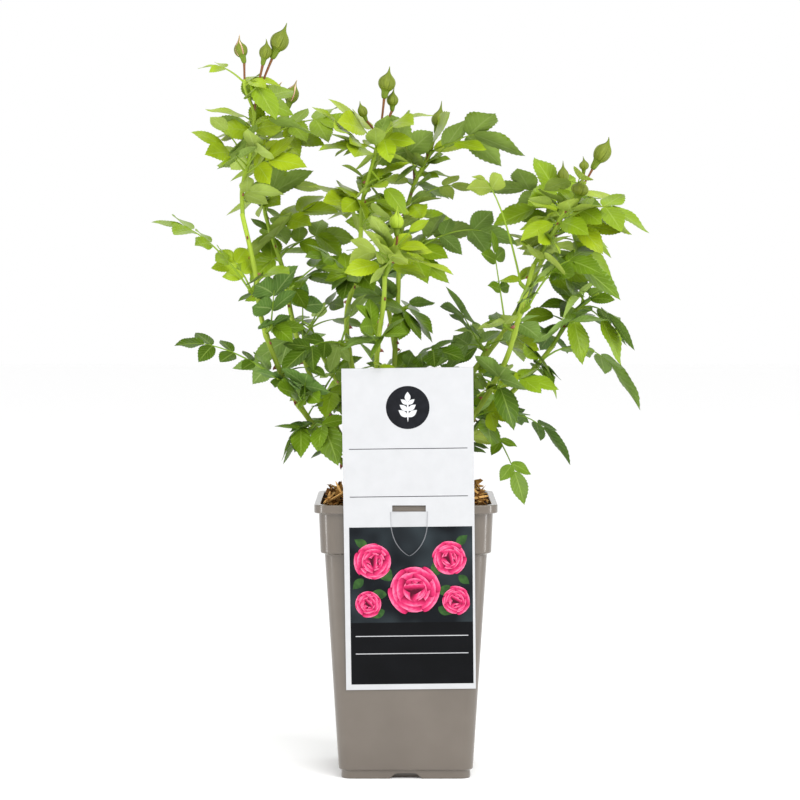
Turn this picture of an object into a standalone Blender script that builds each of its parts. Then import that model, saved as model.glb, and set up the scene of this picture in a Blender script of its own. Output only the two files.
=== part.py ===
"""Young rose bush in a deep square pot, with a hanging plant card.

Blender units are metres and +Z is up. The origin is the centre of the pot's flat underside, and the
card hangs on the front of the rim, towards -Y. Sizes below are in millimetres and are multiplied by MM
where a mesh is made.

The pot is filled with a root ball and a layer of bark mulch. A short knobbed stem stands on the mulch,
and tapering canes spring from it. Each cane carries leafy shoots: one goes on from its tip, and others
stand on its side. A shoot is one solid, a stem with compound leaves and buds fused to it.
"""
import math
import random
from collections import namedtuple

import bmesh
import bpy
import numpy as np
from mathutils import Matrix, Vector
from mathutils.bvhtree import BVHTree

MM = 0.001
UP = np.array((0.0, 0.0, 1.0))

# Clearance between neighbouring solids, and between faces that stand side by side.
GAP = 0.3
SEAT_GAP = 0.4

# Pot: half widths across the flats, and heights. A corner's radius is a share of the half width there.
POT_HEIGHT = 240.0
RIM_HALF = 78.9
LIP_HEIGHT = 7.3
COLLAR_TOP_HALF = 75.0
COLLAR_LOW_HALF = 73.6
COLLAR_HEIGHT = 36.0
BODY_TOP_HALF = 70.1
BODY_LOW_HALF = 58.4
FOOT_HALF = 56.1
FOOT_HEIGHT = 7.0
STEP = 1.2
WALL = 1.8
FLOOR_TOP = 9.0
CORNER_SHARE = 0.16
CORNER_SEGMENTS = 3
NOTCH = (24.0, 8.0, 5.0)

# Filling of the pot.
PEAT_TOP = 222.0
MULCH_TOP = 231.0
CHIP_COUNT = 20
CHIP_LENGTH = (9.0, 24.0)
CHIP_WIDTH = (3.0, 5.5)
CHIP_THICK = (1.6, 3.0)
CHIP_TILT = (0.05, 0.3)
CHIP_HEAP_X = 48.0
CHIP_HEAP_TILT = (0.5, 0.9)
CHIP_SHOW = 0.7
CHIP_FREE_RADIUS = 17.0
CHIP_WALL_GAP = 1.5

# Hanging card: it leans from the lip's lower edge to the pot's face.
CARD_WIDTH = 112.0
CARD_HEIGHT = 280.5
CARD_THICK = 1.0
CARD_CENTRE_X = 2.6
CARD_FOOT_Z = 79.5
CARD_TURN = math.radians(0.7)
SLOT_WIDTH = 28.7
SLOT_LOW = 234.8
SLOT_HIGH = 240.2
SLOT_CUT = (9.0, 2.0)
TONGUE_DEPTH = 0.4
TONGUE = ((-15.9, 0.0), (-14.6, -18.0), (-8.8, -31.0), (0.0, -38.6), (8.8, -31.0), (14.6, -18.0), (15.9, 0.0))
STRAP_WIDTH = 42.0
STRAP_THICK = 0.8
STRAP_DROP = 6.0

# Stem knob that the canes spring from.
KNOB_CENTRE = np.array((0.0, 0.0, 247.0))
KNOB_RADIUS = 13.0
STEM_FOOT_RADIUS = 11.0
STEM_NECK_RADIUS = 8.0

# Limbs.
CANE_FOOT_RADIUS = 2.6
CANE_TIP_RADIUS = 2.0
SHOOT_TIP_RADIUS = 1.4
SIDE_SHOOT_RADIUS = 1.5
CANE_SPAN = 26.0
PRICKLE_SPACING = 74.0
PRICKLE_LENGTH = 4.8
PRICKLE_RADIUS = 2.0
PRICKLE_END = 0.08
PRICKLE_ROOT = 0.4
PRICKLE_LEAN = 0.35
PRICKLE_CLEAR = 9.0
GOLDEN_ANGLE = math.radians(137.5)

# Leaves. A leaf's stalk carries pairs of leaflets and one at its end.
STALK_RADIUS = 1.05
LEAFLET_BASE = (17.0, 16.0, 14.0, 11.0)
LEAFLET_SHARE = 0.27
LEAFLET_MOST = 0.85
LEAFLET_THICK = 1.2
LEAFLET_HALF = 0.35
LEAFLET_WIDEST = 0.45
LEAFLET_FOLD = 0.22
LEAFLET_BEND = 0.07
LEAFLET_ROOT = 0.1
END_ROOT = 0.6
PAIR_AT = ((), (0.82,), (0.50, 0.90), (0.36, 0.62, 0.90))
PAIR_SIZE = ((), (0.92,), (0.78, 0.92), (0.68, 0.82, 0.92))
PAIR_STAGGER = 0.8
PAIR_AIM = (0.52, 0.85, 0.10)
STALK_CORNER = 0.7
LEAF_TURN = (12.0, 50.0)
LEAF_TURN_UP = 0.68
SWINGS = (0, 12, -12, 24, -24)
YAWS = (0, 16, -16, 32, -32)
TOUCH_MARGIN = 0.35
FREE_ROOT = 2.2
ROOT_STEP = 1.1

# Buds: radius as a share of the bud's half width, along the bud from its neck to its sepals' tip.
BUD_PROFILE = ((0.0, 0.20), (0.27, 0.62), (0.45, 1.0), (0.65, 0.70), (0.78, 0.18), (1.0, 0.04))
BUD_STALK_RADIUS = 1.15
SMALL_BUD = 11.0

# A leaf grows from its shoot at a height, and spans right, back and up from there to its tip.
# Its stalk arches by a share of its length, and size makes its leaflets larger or smaller.
Leaf = namedtuple("Leaf", "at right back up pairs arch size", defaults=(2, 0.15, 1.0))
# A bud's stalk grows from its shoot at a height to the neck, and the bud runs from there to the tip.
Bud = namedtuple("Bud", "at neck tip width")
# Fill leaves alternate between back and front, each a step lower than the one before.
Fill = namedtuple("Fill", "top count reach")
# A shoot starts at its cane's tip, or stands on the cane's side at a height, and runs through its route.
Shoot = namedtuple("Shoot", "name cane start route leaves buds fill", defaults=((), None))

FILL_STEP = 14.0
TIP = None

# Canes: the places that each one passes through on its way up from the knob.
CANES = {
    "left": ((-57, -15, 274), (-87, -22, 314), (-107, -28, 347), (-125, -33, 397), (-130, -33, 435),
             (-142, -32, 490)),
    "left_back": ((-46, 33, 276), (-70, 34, 315), (-88, 38, 353), (-101, 41, 395), (-110, 44, 443)),
    "centre_left": ((-26, 2, 298), (-46, 0, 350), (-52, -6, 401), (-42, -12, 440), (-39, -15, 478)),
    "centre": ((-8, 17, 310), (-10, 20, 357), (-7, 24, 414), (-6, 30, 466)),
    "front": ((-18, -39, 290), (-25, -68, 359), (-19, -75, 415), (-18, -78, 436)),
    "right_front": ((34, -27, 278), (62, -39, 319), (86, -52, 363), (100, -57, 411), (110, -56, 446)),
    "right_back": ((26, 17, 300), (52, 27, 340), (82, 34, 378), (104, 37, 412), (122, 37, 450)),
    "right_low": ((42, 15, 276), (66, 7, 306), (104, 6, 343), (130, 6, 374)),
    "back": ((2, 49, 290), (-6, 81, 345), (-18, 102, 420)),
    "back_right": ((24, 56, 278), (50, 85, 325), (70, 105, 360)),
    "back_left": ((-26, 56, 280), (-60, 85, 335), (-82, 102, 372)),
}

SHOOTS = (
    Shoot("left_top", "left", TIP,
          ((-142, -30, 512), (-136, -27, 537), (-133, -27, 560), (-132, -27, 578), (-139, -27, 597),
           (-140, -27, 606)),
          (Leaf(603, -40, 6, 15, 1, 0.15, 0.7), Leaf(600, 27, -22, -26, 0, 0.3, 1.02),
           Leaf(569, -40, -2, 12, 0, 0.1, 1.21), Leaf(563, -34, -1, 10, 0, 0.1, 1.26),
           Leaf(560, -39, 14, -5, 0, 0.15, 1.2), Leaf(534, -31, -22, 41, 0, 0.05, 0.7),
           Leaf(525, -45, -10, 40, 1, 0.1, 1.12), Leaf(523, 53, -29, 11, 2, 0.15, 1.2),
           Leaf(552, 5, 19, 37, 1, 0.15, 1.2)),
          (Bud(604, (-140, -27, 620), (-144, -27, 645), 11.5),
           Bud(580, (-116, -27, 624), (-103, -27, 655), 16.0),
           Bud(578, (-124, -30, 618), (-121, -32, 641), 10.5)),
          Fill(544, 2, 52)),
    Shoot("left_side", "left", 418, ((-136, -39, 424),),
          (Leaf(424, -82, -18, 60, 3, 0.16, 0.85), Leaf(422, -30, 13, 37, 2, 0.15, 0.89),
           Leaf(422, 33, -42, 21, 0, 0.15, 1.1), Leaf(420, -14, -3, -5, 0, 0.15, 1.2))),
    Shoot("left_inner", "left", 386, ((-116, -45, 393),),
          (Leaf(392, 7, -33, 64, 2, 0.0, 1.13), Leaf(390, 10, -22, 11, 1, 0.15, 1.13))),
    Shoot("left_low", "left", 342, ((-112, -39, 346),),
          (Leaf(345, -88, -18, 34, 3, 0.1, 0.72), Leaf(344, -42, 16, 15, 1, 0.15, 1.06),
           Leaf(343, -6, -30, 0, 1, 0.15, 1.12))),
    Shoot("left_under", "left", 324, ((-88, -42, 326),),
          (Leaf(326, 4, -35, 29, 1, 0.15, 0.96), Leaf(326, 14, -35, 5, 1, 0.15, 0.84),
           Leaf(326, -23, -21, 26, 0, 0.1, 1.15))),
    Shoot("left_foot", "left", 302, ((-84, -36, 302),),
          (Leaf(302, -23, -16, -20, 2, 0.25, 0.84), Leaf(302, -21, -29, -15, 1, 0.2, 0.94),
           Leaf(302, -23, 1, -27, 1, 0.15, 0.97), Leaf(302, 24, -46, -20, 1, 0.25, 0.86))),
    Shoot("left_back_top", "left_back", TIP,
          ((-124, 44, 485), (-126, 44, 503), (-122, 44, 533), (-128, 44, 556)),
          (Leaf(554, 86, -23, 12, 2, 0.15, 0.94), Leaf(548, 52, -15, 6, 1, 0.15, 0.99),
           Leaf(556, 28, 2, 23, 0, 0.15, 1.2), Leaf(490, 19, -48, 58, 1, 0.0, 1.26),
           Leaf(503, 52, 7, 11, 1, 0.15, 0.96), Leaf(472, 66, -1, 25, 2, 0.15, 1.2),
           Leaf(472, -18, 8, 15, 0, 0.15, 1.13), Leaf(452, 66, 18, 17, 2, 0.15, 0.96)),
          (Bud(556, (-115, 41, 587), (-110, 41, 608), 12.0),
           Bud(552, (-106, 46, 583), (-97, 46, 610), 12.5)),
          Fill(520, 3, 60)),
    Shoot("left_back_side", "left_back", 372, ((-92, 51, 378),),
          (Leaf(376, -44, 17, -15, 1, 0.15, 1.14), Leaf(376, 13, 45, -3, 2, 0.15, 1.02),
           Leaf(377, 46, -5, 44, 1, 0.15, 0.67), Leaf(377, 1, -20, 56, 1, 0.15, 0.93))),
    Shoot("left_back_mid", "left_back", 418, ((-102, 29, 424),),
          (Leaf(424, 38, -42, 9, 1, 0.15, 0.96), Leaf(424, 56, 12, 29, 1),
           Leaf(424, -37, -34, -6, 0, 0.1, 1.1))),
    Shoot("left_back_low", "left_back", 330, ((-72, 20, 334),),
          (Leaf(334, -17, -10, 15, 0, 0.15, 1.18), Leaf(334, 28, -20, -26, 1, 0.15, 1.14),
           Leaf(333, -29, 6, -6, 1, 0.15, 0.83), Leaf(334, 34, -2, 33, 1))),
    Shoot("centre_left_top", "centre_left", TIP, ((-38, -15, 500), (-30, -18, 530), (-23, -18, 556)),
          (Leaf(538, -52, -17, 44, 2, 0.05, 0.98), Leaf(548, -41, 4, 46, 1, 0.05, 1.2),
           Leaf(552, 8, -23, 24, 0, 0.15, 1.29), Leaf(540, -46, -26, 6, 1, 0.15, 1.2),
           Leaf(545, 0, -30, 19, 0, 0.1, 1.49), Leaf(552, 47, -5, 28, 1, 0.15, 1.08),
           Leaf(540, 35, -7, -6, 0, 0.15, 1.2), Leaf(528, 29, -27, -35, 0, 0.0, 0.9),
           Leaf(495, -46, 3, 22, 1, 0.1, 1.28), Leaf(497, 35, 0, -2, 0, 0.15, 0.89)),
          (Bud(556, (-19, -18, 590), (-14, -18, 618), 15.0),
           Bud(555, (-12, -12, 579), (-10, -12, 600), 10.0),
           Bud(554, (-34, -21, 570), (-40, -21, 588), 8.0)),
          Fill(515, 3, 50)),
    Shoot("centre_left_side", "centre_left", 432, ((-52, -24, 440),),
          (Leaf(438, -36, -29, 17, 2, 0.15, 0.9), Leaf(436, -25, 7, 9, 1, 0.15, 1.14),
           Leaf(436, -6, -30, -18, 1, 0.15, 1.05), Leaf(436, 20, -41, -8, 1, 0.15, 1.09))),
    Shoot("centre_left_low", "centre_left", 372, ((-58, -18, 378),),
          (Leaf(377, -50, -28, -23, 2, 0.15, 0.86), Leaf(377, 28, -52, -13, 1, 0.15, 0.77),
           Leaf(377, -10, 4, -22, 1, 0.15, 0.81), Leaf(377, 22, -20, 45, 1, 0.15, 0.93))),
    Shoot("centre_top", "centre", TIP, ((0, 34, 491), (8, 34, 518), (20, 34, 540), (23, 34, 548)),
          (Leaf(524, -24, -13, 58, 1, 0.0, 1.09), Leaf(540, 33, 15, 17, 0, 0.15, 1.2),
           Leaf(532, 25, -14, 58, 0, 0.1, 1.44), Leaf(522, -14, -16, 32, 1, 0.15, 0.94),
           Leaf(532, 23, -16, 8, 1, 0.15, 1.05), Leaf(520, 94, -16, 24, 2, 0.28, 1.1),
           Leaf(497, 61, 12, 16, 1, 0.15, 0.7), Leaf(500, 20, 4, 8, 0, 0.15, 0.99)),
          (Bud(545, (27, 34, 561), (32, 34, 591), 13.0), Bud(518, (5, 34, 545), (2, 34, 566), 10.0),
           Bud(536, (19, 32, 543), (22, 32, 558), 8.0)),
          Fill(505, 3, 58)),
    Shoot("centre_side", "centre", 446, ((2, 24, 452),),
          (Leaf(450, 98, -5, 15, 2, 0.18, 0.79), Leaf(450, 44, 12, 14, 1, 0.15, 1.1),
           Leaf(449, 39, -8, -16, 1, 0.2, 1.1), Leaf(449, 64, 15, 31, 1, 0.15, 1.2))),
    Shoot("centre_low", "centre", 402, ((1, 17, 408),),
          (Leaf(407, 25, -12, 9, 0, 0.15, 1.04), Leaf(407, 23, 16, -26, 1, 0.15, 1.2),
           Leaf(406, -4, -29, -24, 1, 0.15, 1.16), Leaf(406, -40, 27, 16, 1, 0.15, 1.2))),
    Shoot("centre_foot", "centre", 352, ((-1, 7, 356),),
          (Leaf(356, 52, -37, 10, 2, 0.15, 0.95), Leaf(356, 25, -12, -11, 1, 0.15, 1.09))),
    Shoot("front_top", "front", TIP, ((-14, -78, 448), (-8, -78, 462)),
          (Leaf(452, -16, -25, 39, 0, 0.1, 1.44), Leaf(452, 50, -14, -10, 0, 0.1, 1.44),
           Leaf(462, 28, -1, 25, 0, 0.1, 0.77), Leaf(446, -32, 12, 22, 0, 0.1, 0.96),
           Leaf(443, -35, -19, -2, 0, 0.15, 1.13), Leaf(446, -7, -34, 22, 1, 0.15, 1.2)),
          (Bud(462, (-8, -78, 470), (-7, -78, 497), 12.0),)),
    Shoot("front_side", "front", 376, ((-24, -84, 382),),
          (Leaf(381, -31, -13, -6, 1, 0.15, 1.19), Leaf(381, 24, -27, 8, 1, 0.15, 1.08),
           Leaf(381, -18, -10, 34, 1, 0.15, 1.02))),
    Shoot("right_front_top", "right_front", TIP, ((127, -51, 474), (141, -45, 498), (155, -42, 517)),
          (Leaf(474, 80, -8, 3, 2, 0.25, 0.9), Leaf(492, 44, 26, 15, 0),
           Leaf(480, 24, -30, -3, 0, 0.15, 1.2), Leaf(485, 60, 7, -6, 0, 0.15, 1.05),
           Leaf(470, 60, 6, 6, 1, 0.1, 0.99), Leaf(466, 56, 14, -29, 1, 0.2, 0.96),
           Leaf(480, -31, -16, -9, 0, 0.15, 1.2), Leaf(486, -27, 13, 17, 0, 0.15, 1.14)),
          (Bud(516, (161, -42, 528), (175, -42, 556), 14.5),
           Bud(512, (153, -51, 524), (152, -54, 539), 8.0),
           Bud(490, (147, -54, 500), (152, -57, 522), 15.0)),
          Fill(480, 2, 46)),
    Shoot("right_front_side", "right_front", 424, ((98, -66, 430),),
          (Leaf(430, -42, -11, 93, 1, 0.25, 0.6), Leaf(428, -21, 20, 7, 0, 0.15, 1.04))),
    Shoot("right_front_out", "right_front", 404, ((106, -66, 410),),
          (Leaf(409, 76, -11, 12, 2, 0.45, 1.11), Leaf(408, 12, -51, 27, 1, 0.15, 0.99))),
    Shoot("right_front_inner", "right_front", 388, ((84, -57, 394),),
          (Leaf(393, -6, 17, 85, 2, 0.0, 0.61), Leaf(392, -20, -21, 4, 1, 0.15, 0.99))),
    Shoot("right_front_low", "right_front", 340, ((80, -57, 340),),
          (Leaf(340, 12, -25, -28, 0, 0.2, 1.5), Leaf(340, 6, -37, 21, 1, 0.15, 1.15),
           Leaf(340, 51, -11, 0, 1, 0.15, 0.93))),
    Shoot("right_back_top", "right_back", TIP, ((131, 37, 467), (139, 37, 498), (140, 37, 506)),
          (Leaf(500, -24, 1, 43, 1, 0.0, 1.23), Leaf(497, -71, -5, 18, 2, 0.1, 1.18),
           Leaf(495, -59, -6, -14, 0, 0.1, 1.08), Leaf(490, 37, 18, 18, 1, 0.15, 1.2),
           Leaf(476, 49, 13, -22, 2, 0.15, 1.07)),
          (Bud(506, (140, 37, 513), (140, 37, 538), 10.0),),
          Fill(480, 3, 52)),
    Shoot("right_back_mid", "right_back", 424, ((116, 24, 430),),
          (Leaf(430, 51, -22, 8, 1, 0.15, 1.14), Leaf(430, 51, -7, -4, 1, 0.15, 1.08),
           Leaf(430, -13, -9, -29, 1, 0.15, 1.02))),
    Shoot("right_back_side", "right_back", 366, ((66, 32, 374),),
          (Leaf(373, -31, -41, 53, 2, 0.0, 0.98), Leaf(372, -41, -21, -13, 1, 0.15, 1.05),
           Leaf(372, -1, 31, 6, 1, 0.15, 1.09))),
    Shoot("right_low_top", "right_low", TIP, ((142, 6, 394), (153, 6, 408), (170, 6, 420)),
          (Leaf(412, -39, -31, 28, 1, 0.15, 1.18), Leaf(414, 9, 14, 14, 0, 0.15, 1.19),
           Leaf(413, 23, -12, 3, 0, 0.15, 1.14), Leaf(405, -31, -10, 8, 1, 0.15, 1.12),
           Leaf(400, 9, -9, -36, 0, 0.2, 1.12), Leaf(404, 40, -1, -40, 0, 0.3, 0.72),
           Leaf(406, 48, 1, -33, 1, 0.25, 0.84), Leaf(388, -15, -32, 0, 1, 0.15, 1.2),
           Leaf(392, 56, 42, -11, 1, 0.15, 1.2))),
    Shoot("right_low_side", "right_low", 356, ((118, -3, 360),),
          (Leaf(360, 88, -8, -34, 3, 0.3, 0.8), Leaf(359, 15, -1, -27, 1, 0.2, 0.66),
           Leaf(359, 11, -18, -17, 1, 0.15, 1.04), Leaf(358, -13, -51, 10, 1, 0.15, 1.08))),
    Shoot("right_foot", "right_low", 306, ((70, -9, 306),),
          (Leaf(306, 74, 8, -30, 2, 0.25, 0.7), Leaf(306, 4, -60, -14, 0, 0.15, 1.11),
           Leaf(305, 32, -42, -62, 2, 0.12, 0.55))),
    Shoot("back_top", "back", TIP, ((-22, 112, 450), (-24, 117, 480)),
          (Leaf(478, -22, 12, 27, 1, 0.15, 1.2), Leaf(476, 17, 28, 5, 1, 0.15, 1.2),
           Leaf(460, 33, 42, -4, 1), Leaf(455, -43, 11, -12, 1, 0.15, 1.2),
           Leaf(440, 15, 60, -7, 1, 0.15, 1.09))),
    Shoot("back_right_top", "back_right", TIP, ((78, 110, 376),),
          (Leaf(375, 47, 32, 9, 1, 0.15, 1.18), Leaf(374, -31, 6, 12, 1, 0.15, 0.91),
           Leaf(370, 35, 57, -10, 2, 0.15, 1.01), Leaf(372, 16, -10, 9, 0, 0.15, 1.08))),
    Shoot("back_left_top", "back_left", TIP, ((-88, 105, 390),),
          (Leaf(389, -35, 35, -4, 2, 0.15, 0.92), Leaf(388, 19, 1, 26, 1, 0.15, 0.86),
           Leaf(384, -26, 58, -8, 2, 0.15, 0.89))),
)


# ---------------------------------------------------------------- scene and materials

def clear_scene():
    for obj in list(bpy.data.objects):
        bpy.data.objects.remove(obj, do_unlink=True)
    for group in list(bpy.data.collections):
        bpy.data.collections.remove(group)


def new_collection(name):
    group = bpy.data.collections.new(name)
    bpy.context.scene.collection.children.link(group)
    return group


def new_material(name, colour, roughness, metallic=0.0):
    material = bpy.data.materials.new(name)
    material.use_nodes = True
    shader = material.node_tree.nodes["Principled BSDF"]
    shader.inputs["Base Color"].default_value = (*colour, 1.0)
    shader.inputs["Roughness"].default_value = roughness
    shader.inputs["Metallic"].default_value = metallic
    return material


def new_object(name, mesh, group):
    obj = bpy.data.objects.new(name, mesh)
    group.objects.link(obj)
    return obj


def finish(obj, material, smooth_angle=None):
    obj.data.materials.clear()
    obj.data.materials.append(material)
    if smooth_angle is not None:
        obj.data.shade_smooth()
        obj.data.set_sharp_from_angle(angle=math.radians(smooth_angle))
    return obj


# ---------------------------------------------------------------- solids and Booleans

def mesh_from(bm, name):
    mesh = bpy.data.meshes.new(name)
    bm.to_mesh(mesh)
    bm.free()
    return mesh


def box(name, low, high, group, turn=None):
    """A box between two corners in millimetres, turned about its centre by a rotation matrix."""
    low, high = Vector(low), Vector(high)
    size = Matrix.Diagonal((high - low) * MM).to_4x4()
    place = Matrix.Translation((low + high) * 0.5 * MM)
    bm = bmesh.new()
    bmesh.ops.create_cube(bm, size=1.0, matrix=place @ (turn or Matrix()) @ size)
    return new_object(name, mesh_from(bm, name), group)


def square_stack(name, levels, group):
    """A solid whose level rounded squares follow (half width, height) pairs from its first to its last."""
    first = levels[0][0] * MM
    bm = bmesh.new()
    bmesh.ops.create_circle(bm, cap_ends=True, segments=4, radius=first * math.sqrt(2),
                            matrix=Matrix.Rotation(math.radians(45), 4, "Z"))
    bmesh.ops.bevel(bm, geom=bm.verts[:], offset=first * CORNER_SHARE, segments=CORNER_SEGMENTS, profile=0.5,
                    affect="VERTICES")
    bmesh.ops.delete(bm, geom=bm.faces[:], context="FACES_ONLY")
    ring = bm.edges[:]
    for vert in bm.verts:
        vert.co.z = levels[0][1] * MM
    bottom = list(ring)
    for (half_before, _), (half, height) in zip(levels, levels[1:]):
        grown = bmesh.ops.extrude_edge_only(bm, edges=ring)["geom"]
        ring = [item for item in grown if isinstance(item, bmesh.types.BMEdge)]
        corners = [item for item in grown if isinstance(item, bmesh.types.BMVert)]
        for vert in corners:
            vert.co.x *= half / half_before
            vert.co.y *= half / half_before
            vert.co.z = height * MM
    bmesh.ops.contextual_create(bm, geom=bottom)
    bmesh.ops.contextual_create(bm, geom=ring)
    bmesh.ops.recalc_face_normals(bm, faces=bm.faces[:])
    return new_object(name, mesh_from(bm, name), group)


def limb(name, points, radii, group, sides=6):
    """A limb with flat ends: a regular outline drawn along the points, with a radius at each."""
    outline = bpy.data.curves.new("outline", "CURVE")
    ring = outline.splines.new("POLY")
    ring.points.add(sides - 1)
    ring.use_cyclic_u = True
    for number, spot in enumerate(ring.points):
        angle = 2 * math.pi * number / sides
        spot.co = (MM * math.cos(angle), MM * math.sin(angle), 0, 1)
    outline_object = new_object("outline", outline, group)
    curve = bpy.data.curves.new(name, "CURVE")
    curve.dimensions = "3D"
    curve.bevel_mode = "OBJECT"
    curve.bevel_object = outline_object
    curve.use_fill_caps = True
    spline = curve.splines.new("POLY")
    spline.points.add(len(points) - 1)
    for spot, point, radius in zip(spline.points, points, radii):
        spot.co = (*(np.asarray(point) * MM), 1.0)
        spot.radius = radius
    mesh = mesh_of_curve(new_object(name + "_guide", curve, group))
    bpy.data.objects.remove(outline_object, do_unlink=True)
    bpy.data.curves.remove(outline)
    mesh.name = name
    return new_object(name, mesh, group)


def mesh_of_curve(guide):
    """The curve object's closed surface as a mesh. The curve is removed."""
    bpy.context.view_layer.update()
    mesh = bpy.data.meshes.new_from_object(guide.evaluated_get(bpy.context.evaluated_depsgraph_get()))
    mesh.transform(guide.matrix_world)
    curve = guide.data
    bpy.data.objects.remove(guide, do_unlink=True)
    bpy.data.curves.remove(curve)
    bm = bmesh.new()
    bm.from_mesh(mesh)
    bmesh.ops.remove_doubles(bm, verts=bm.verts[:], dist=0.001 * MM)
    bmesh.ops.recalc_face_normals(bm, faces=bm.faces[:])
    bm.to_mesh(mesh)
    bm.free()
    return mesh


def plate(name, outline, thickness, group):
    """A flat plate with a corner at each (x, z) of the outline, from y = 0 forward by its thickness."""
    curve = bpy.data.curves.new(name, "CURVE")
    curve.dimensions = "2D"
    curve.fill_mode = "BOTH"
    curve.extrude = thickness / 2 * MM
    spline = curve.splines.new("POLY")
    spline.points.add(len(outline) - 1)
    spline.use_cyclic_u = True
    for spot, (x, z) in zip(spline.points, outline):
        spot.co = (x * MM, z * MM, 0, 1)
    mesh = mesh_of_curve(new_object(name + "_guide", curve, group))
    upright = Matrix.Rotation(math.radians(90), 4, "X")
    mesh.transform(Matrix.Translation((0, -thickness / 2 * MM, 0)) @ upright)
    mesh.name = name
    return new_object(name, mesh, group)


def apply_modifiers(obj):
    bpy.context.view_layer.update()
    mesh = bpy.data.meshes.new_from_object(obj.evaluated_get(bpy.context.evaluated_depsgraph_get()))
    old = obj.data
    obj.modifiers.clear()
    obj.data = mesh
    bpy.data.meshes.remove(old)


def keep_outer_shell(obj):
    """Keep the largest closed shell, which drops loose scraps and fills sealed hollows."""
    bm = bmesh.new()
    bm.from_mesh(obj.data)
    left = set(bm.verts)
    shells = []
    while left:
        stack = [left.pop()]
        shell = set(stack)
        while stack:
            for edge in stack.pop().link_edges:
                for vert in edge.verts:
                    if vert not in shell:
                        shell.add(vert)
                        stack.append(vert)
        left -= shell
        shells.append(shell)
    shells.sort(key=len)
    scraps = [vert for shell in shells[:-1] for vert in shell]
    bmesh.ops.delete(bm, geom=scraps, context="VERTS")
    bm.to_mesh(obj.data)
    bm.free()


def unite(obj, pieces):
    """Fuse the collection of pieces to the object, and remove the collection with its objects."""
    union = obj.modifiers.new("union", "BOOLEAN")
    union.operation = "UNION"
    union.operand_type = "COLLECTION"
    union.collection = pieces
    union.solver = "EXACT"
    apply_modifiers(obj)
    for piece in list(pieces.objects):
        bpy.data.objects.remove(piece, do_unlink=True)
    bpy.data.collections.remove(pieces)
    keep_outer_shell(obj)


def cut(obj, cutter):
    cutter.hide_render = True
    cutter.display_type = "WIRE"
    difference = obj.modifiers.new("cut_" + cutter.name, "BOOLEAN")
    difference.operation = "DIFFERENCE"
    difference.object = cutter


def tree_of(mesh):
    """The mesh's surface as a tree that overlap tests can search."""
    corners = [vert.co[:] for vert in mesh.vertices]
    return BVHTree.FromPolygons(corners, [face.vertices[:] for face in mesh.polygons])


def touches(tree, others):
    return any(tree.overlap(other) for other in others)


# ---------------------------------------------------------------- pot, filling and card

def pot_inside(height):
    """The inner half width of the pot's wall at a height."""
    body_top = POT_HEIGHT - LIP_HEIGHT - COLLAR_HEIGHT
    if height <= body_top:
        share = (height - FOOT_HEIGHT - STEP) / (body_top - FOOT_HEIGHT - STEP)
        return BODY_LOW_HALF + (BODY_TOP_HALF - BODY_LOW_HALF) * share - WALL
    share = (height - body_top) / COLLAR_HEIGHT
    return COLLAR_LOW_HALF + (COLLAR_TOP_HALF - COLLAR_LOW_HALF) * share - WALL


def make_pot(group, cutters, material):
    body_top = POT_HEIGHT - LIP_HEIGHT - COLLAR_HEIGHT
    lip_low = POT_HEIGHT - LIP_HEIGHT
    levels = (
        (FOOT_HALF, 0.0), (FOOT_HALF, FOOT_HEIGHT), (BODY_LOW_HALF, FOOT_HEIGHT + STEP),
        (BODY_TOP_HALF, body_top), (COLLAR_LOW_HALF, body_top + STEP), (COLLAR_TOP_HALF, lip_low),
        (RIM_HALF, lip_low), (RIM_HALF, POT_HEIGHT), (pot_inside(POT_HEIGHT), POT_HEIGHT),
        (pot_inside(body_top + STEP), body_top + STEP), (pot_inside(body_top), body_top),
        (pot_inside(FLOOR_TOP), FLOOR_TOP))
    pot = square_stack("pot", levels, group)
    width, depth, height = NOTCH
    for quarter in range(4):
        name = f"notch_{quarter}"
        notch = box(name, (-width / 2, FOOT_HALF - depth, -depth), (width / 2, FOOT_HALF + depth, height),
                    cutters)
        notch.data.transform(Matrix.Rotation(math.radians(90 * quarter), 4, "Z"))
        cut(pot, notch)
    apply_modifiers(pot)
    return finish(pot, material, 35)


def make_root_ball(group, material):
    body_top = POT_HEIGHT - LIP_HEIGHT - COLLAR_HEIGHT
    low = FLOOR_TOP + GAP
    levels = [(pot_inside(low) - SEAT_GAP, low)]
    for height, lift in ((body_top, STEP / 2), (body_top + STEP, STEP / 2), (PEAT_TOP, 0.0)):
        levels.append((pot_inside(height) - SEAT_GAP, height + lift))
    return finish(square_stack("root_ball", levels, group), material)


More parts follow.
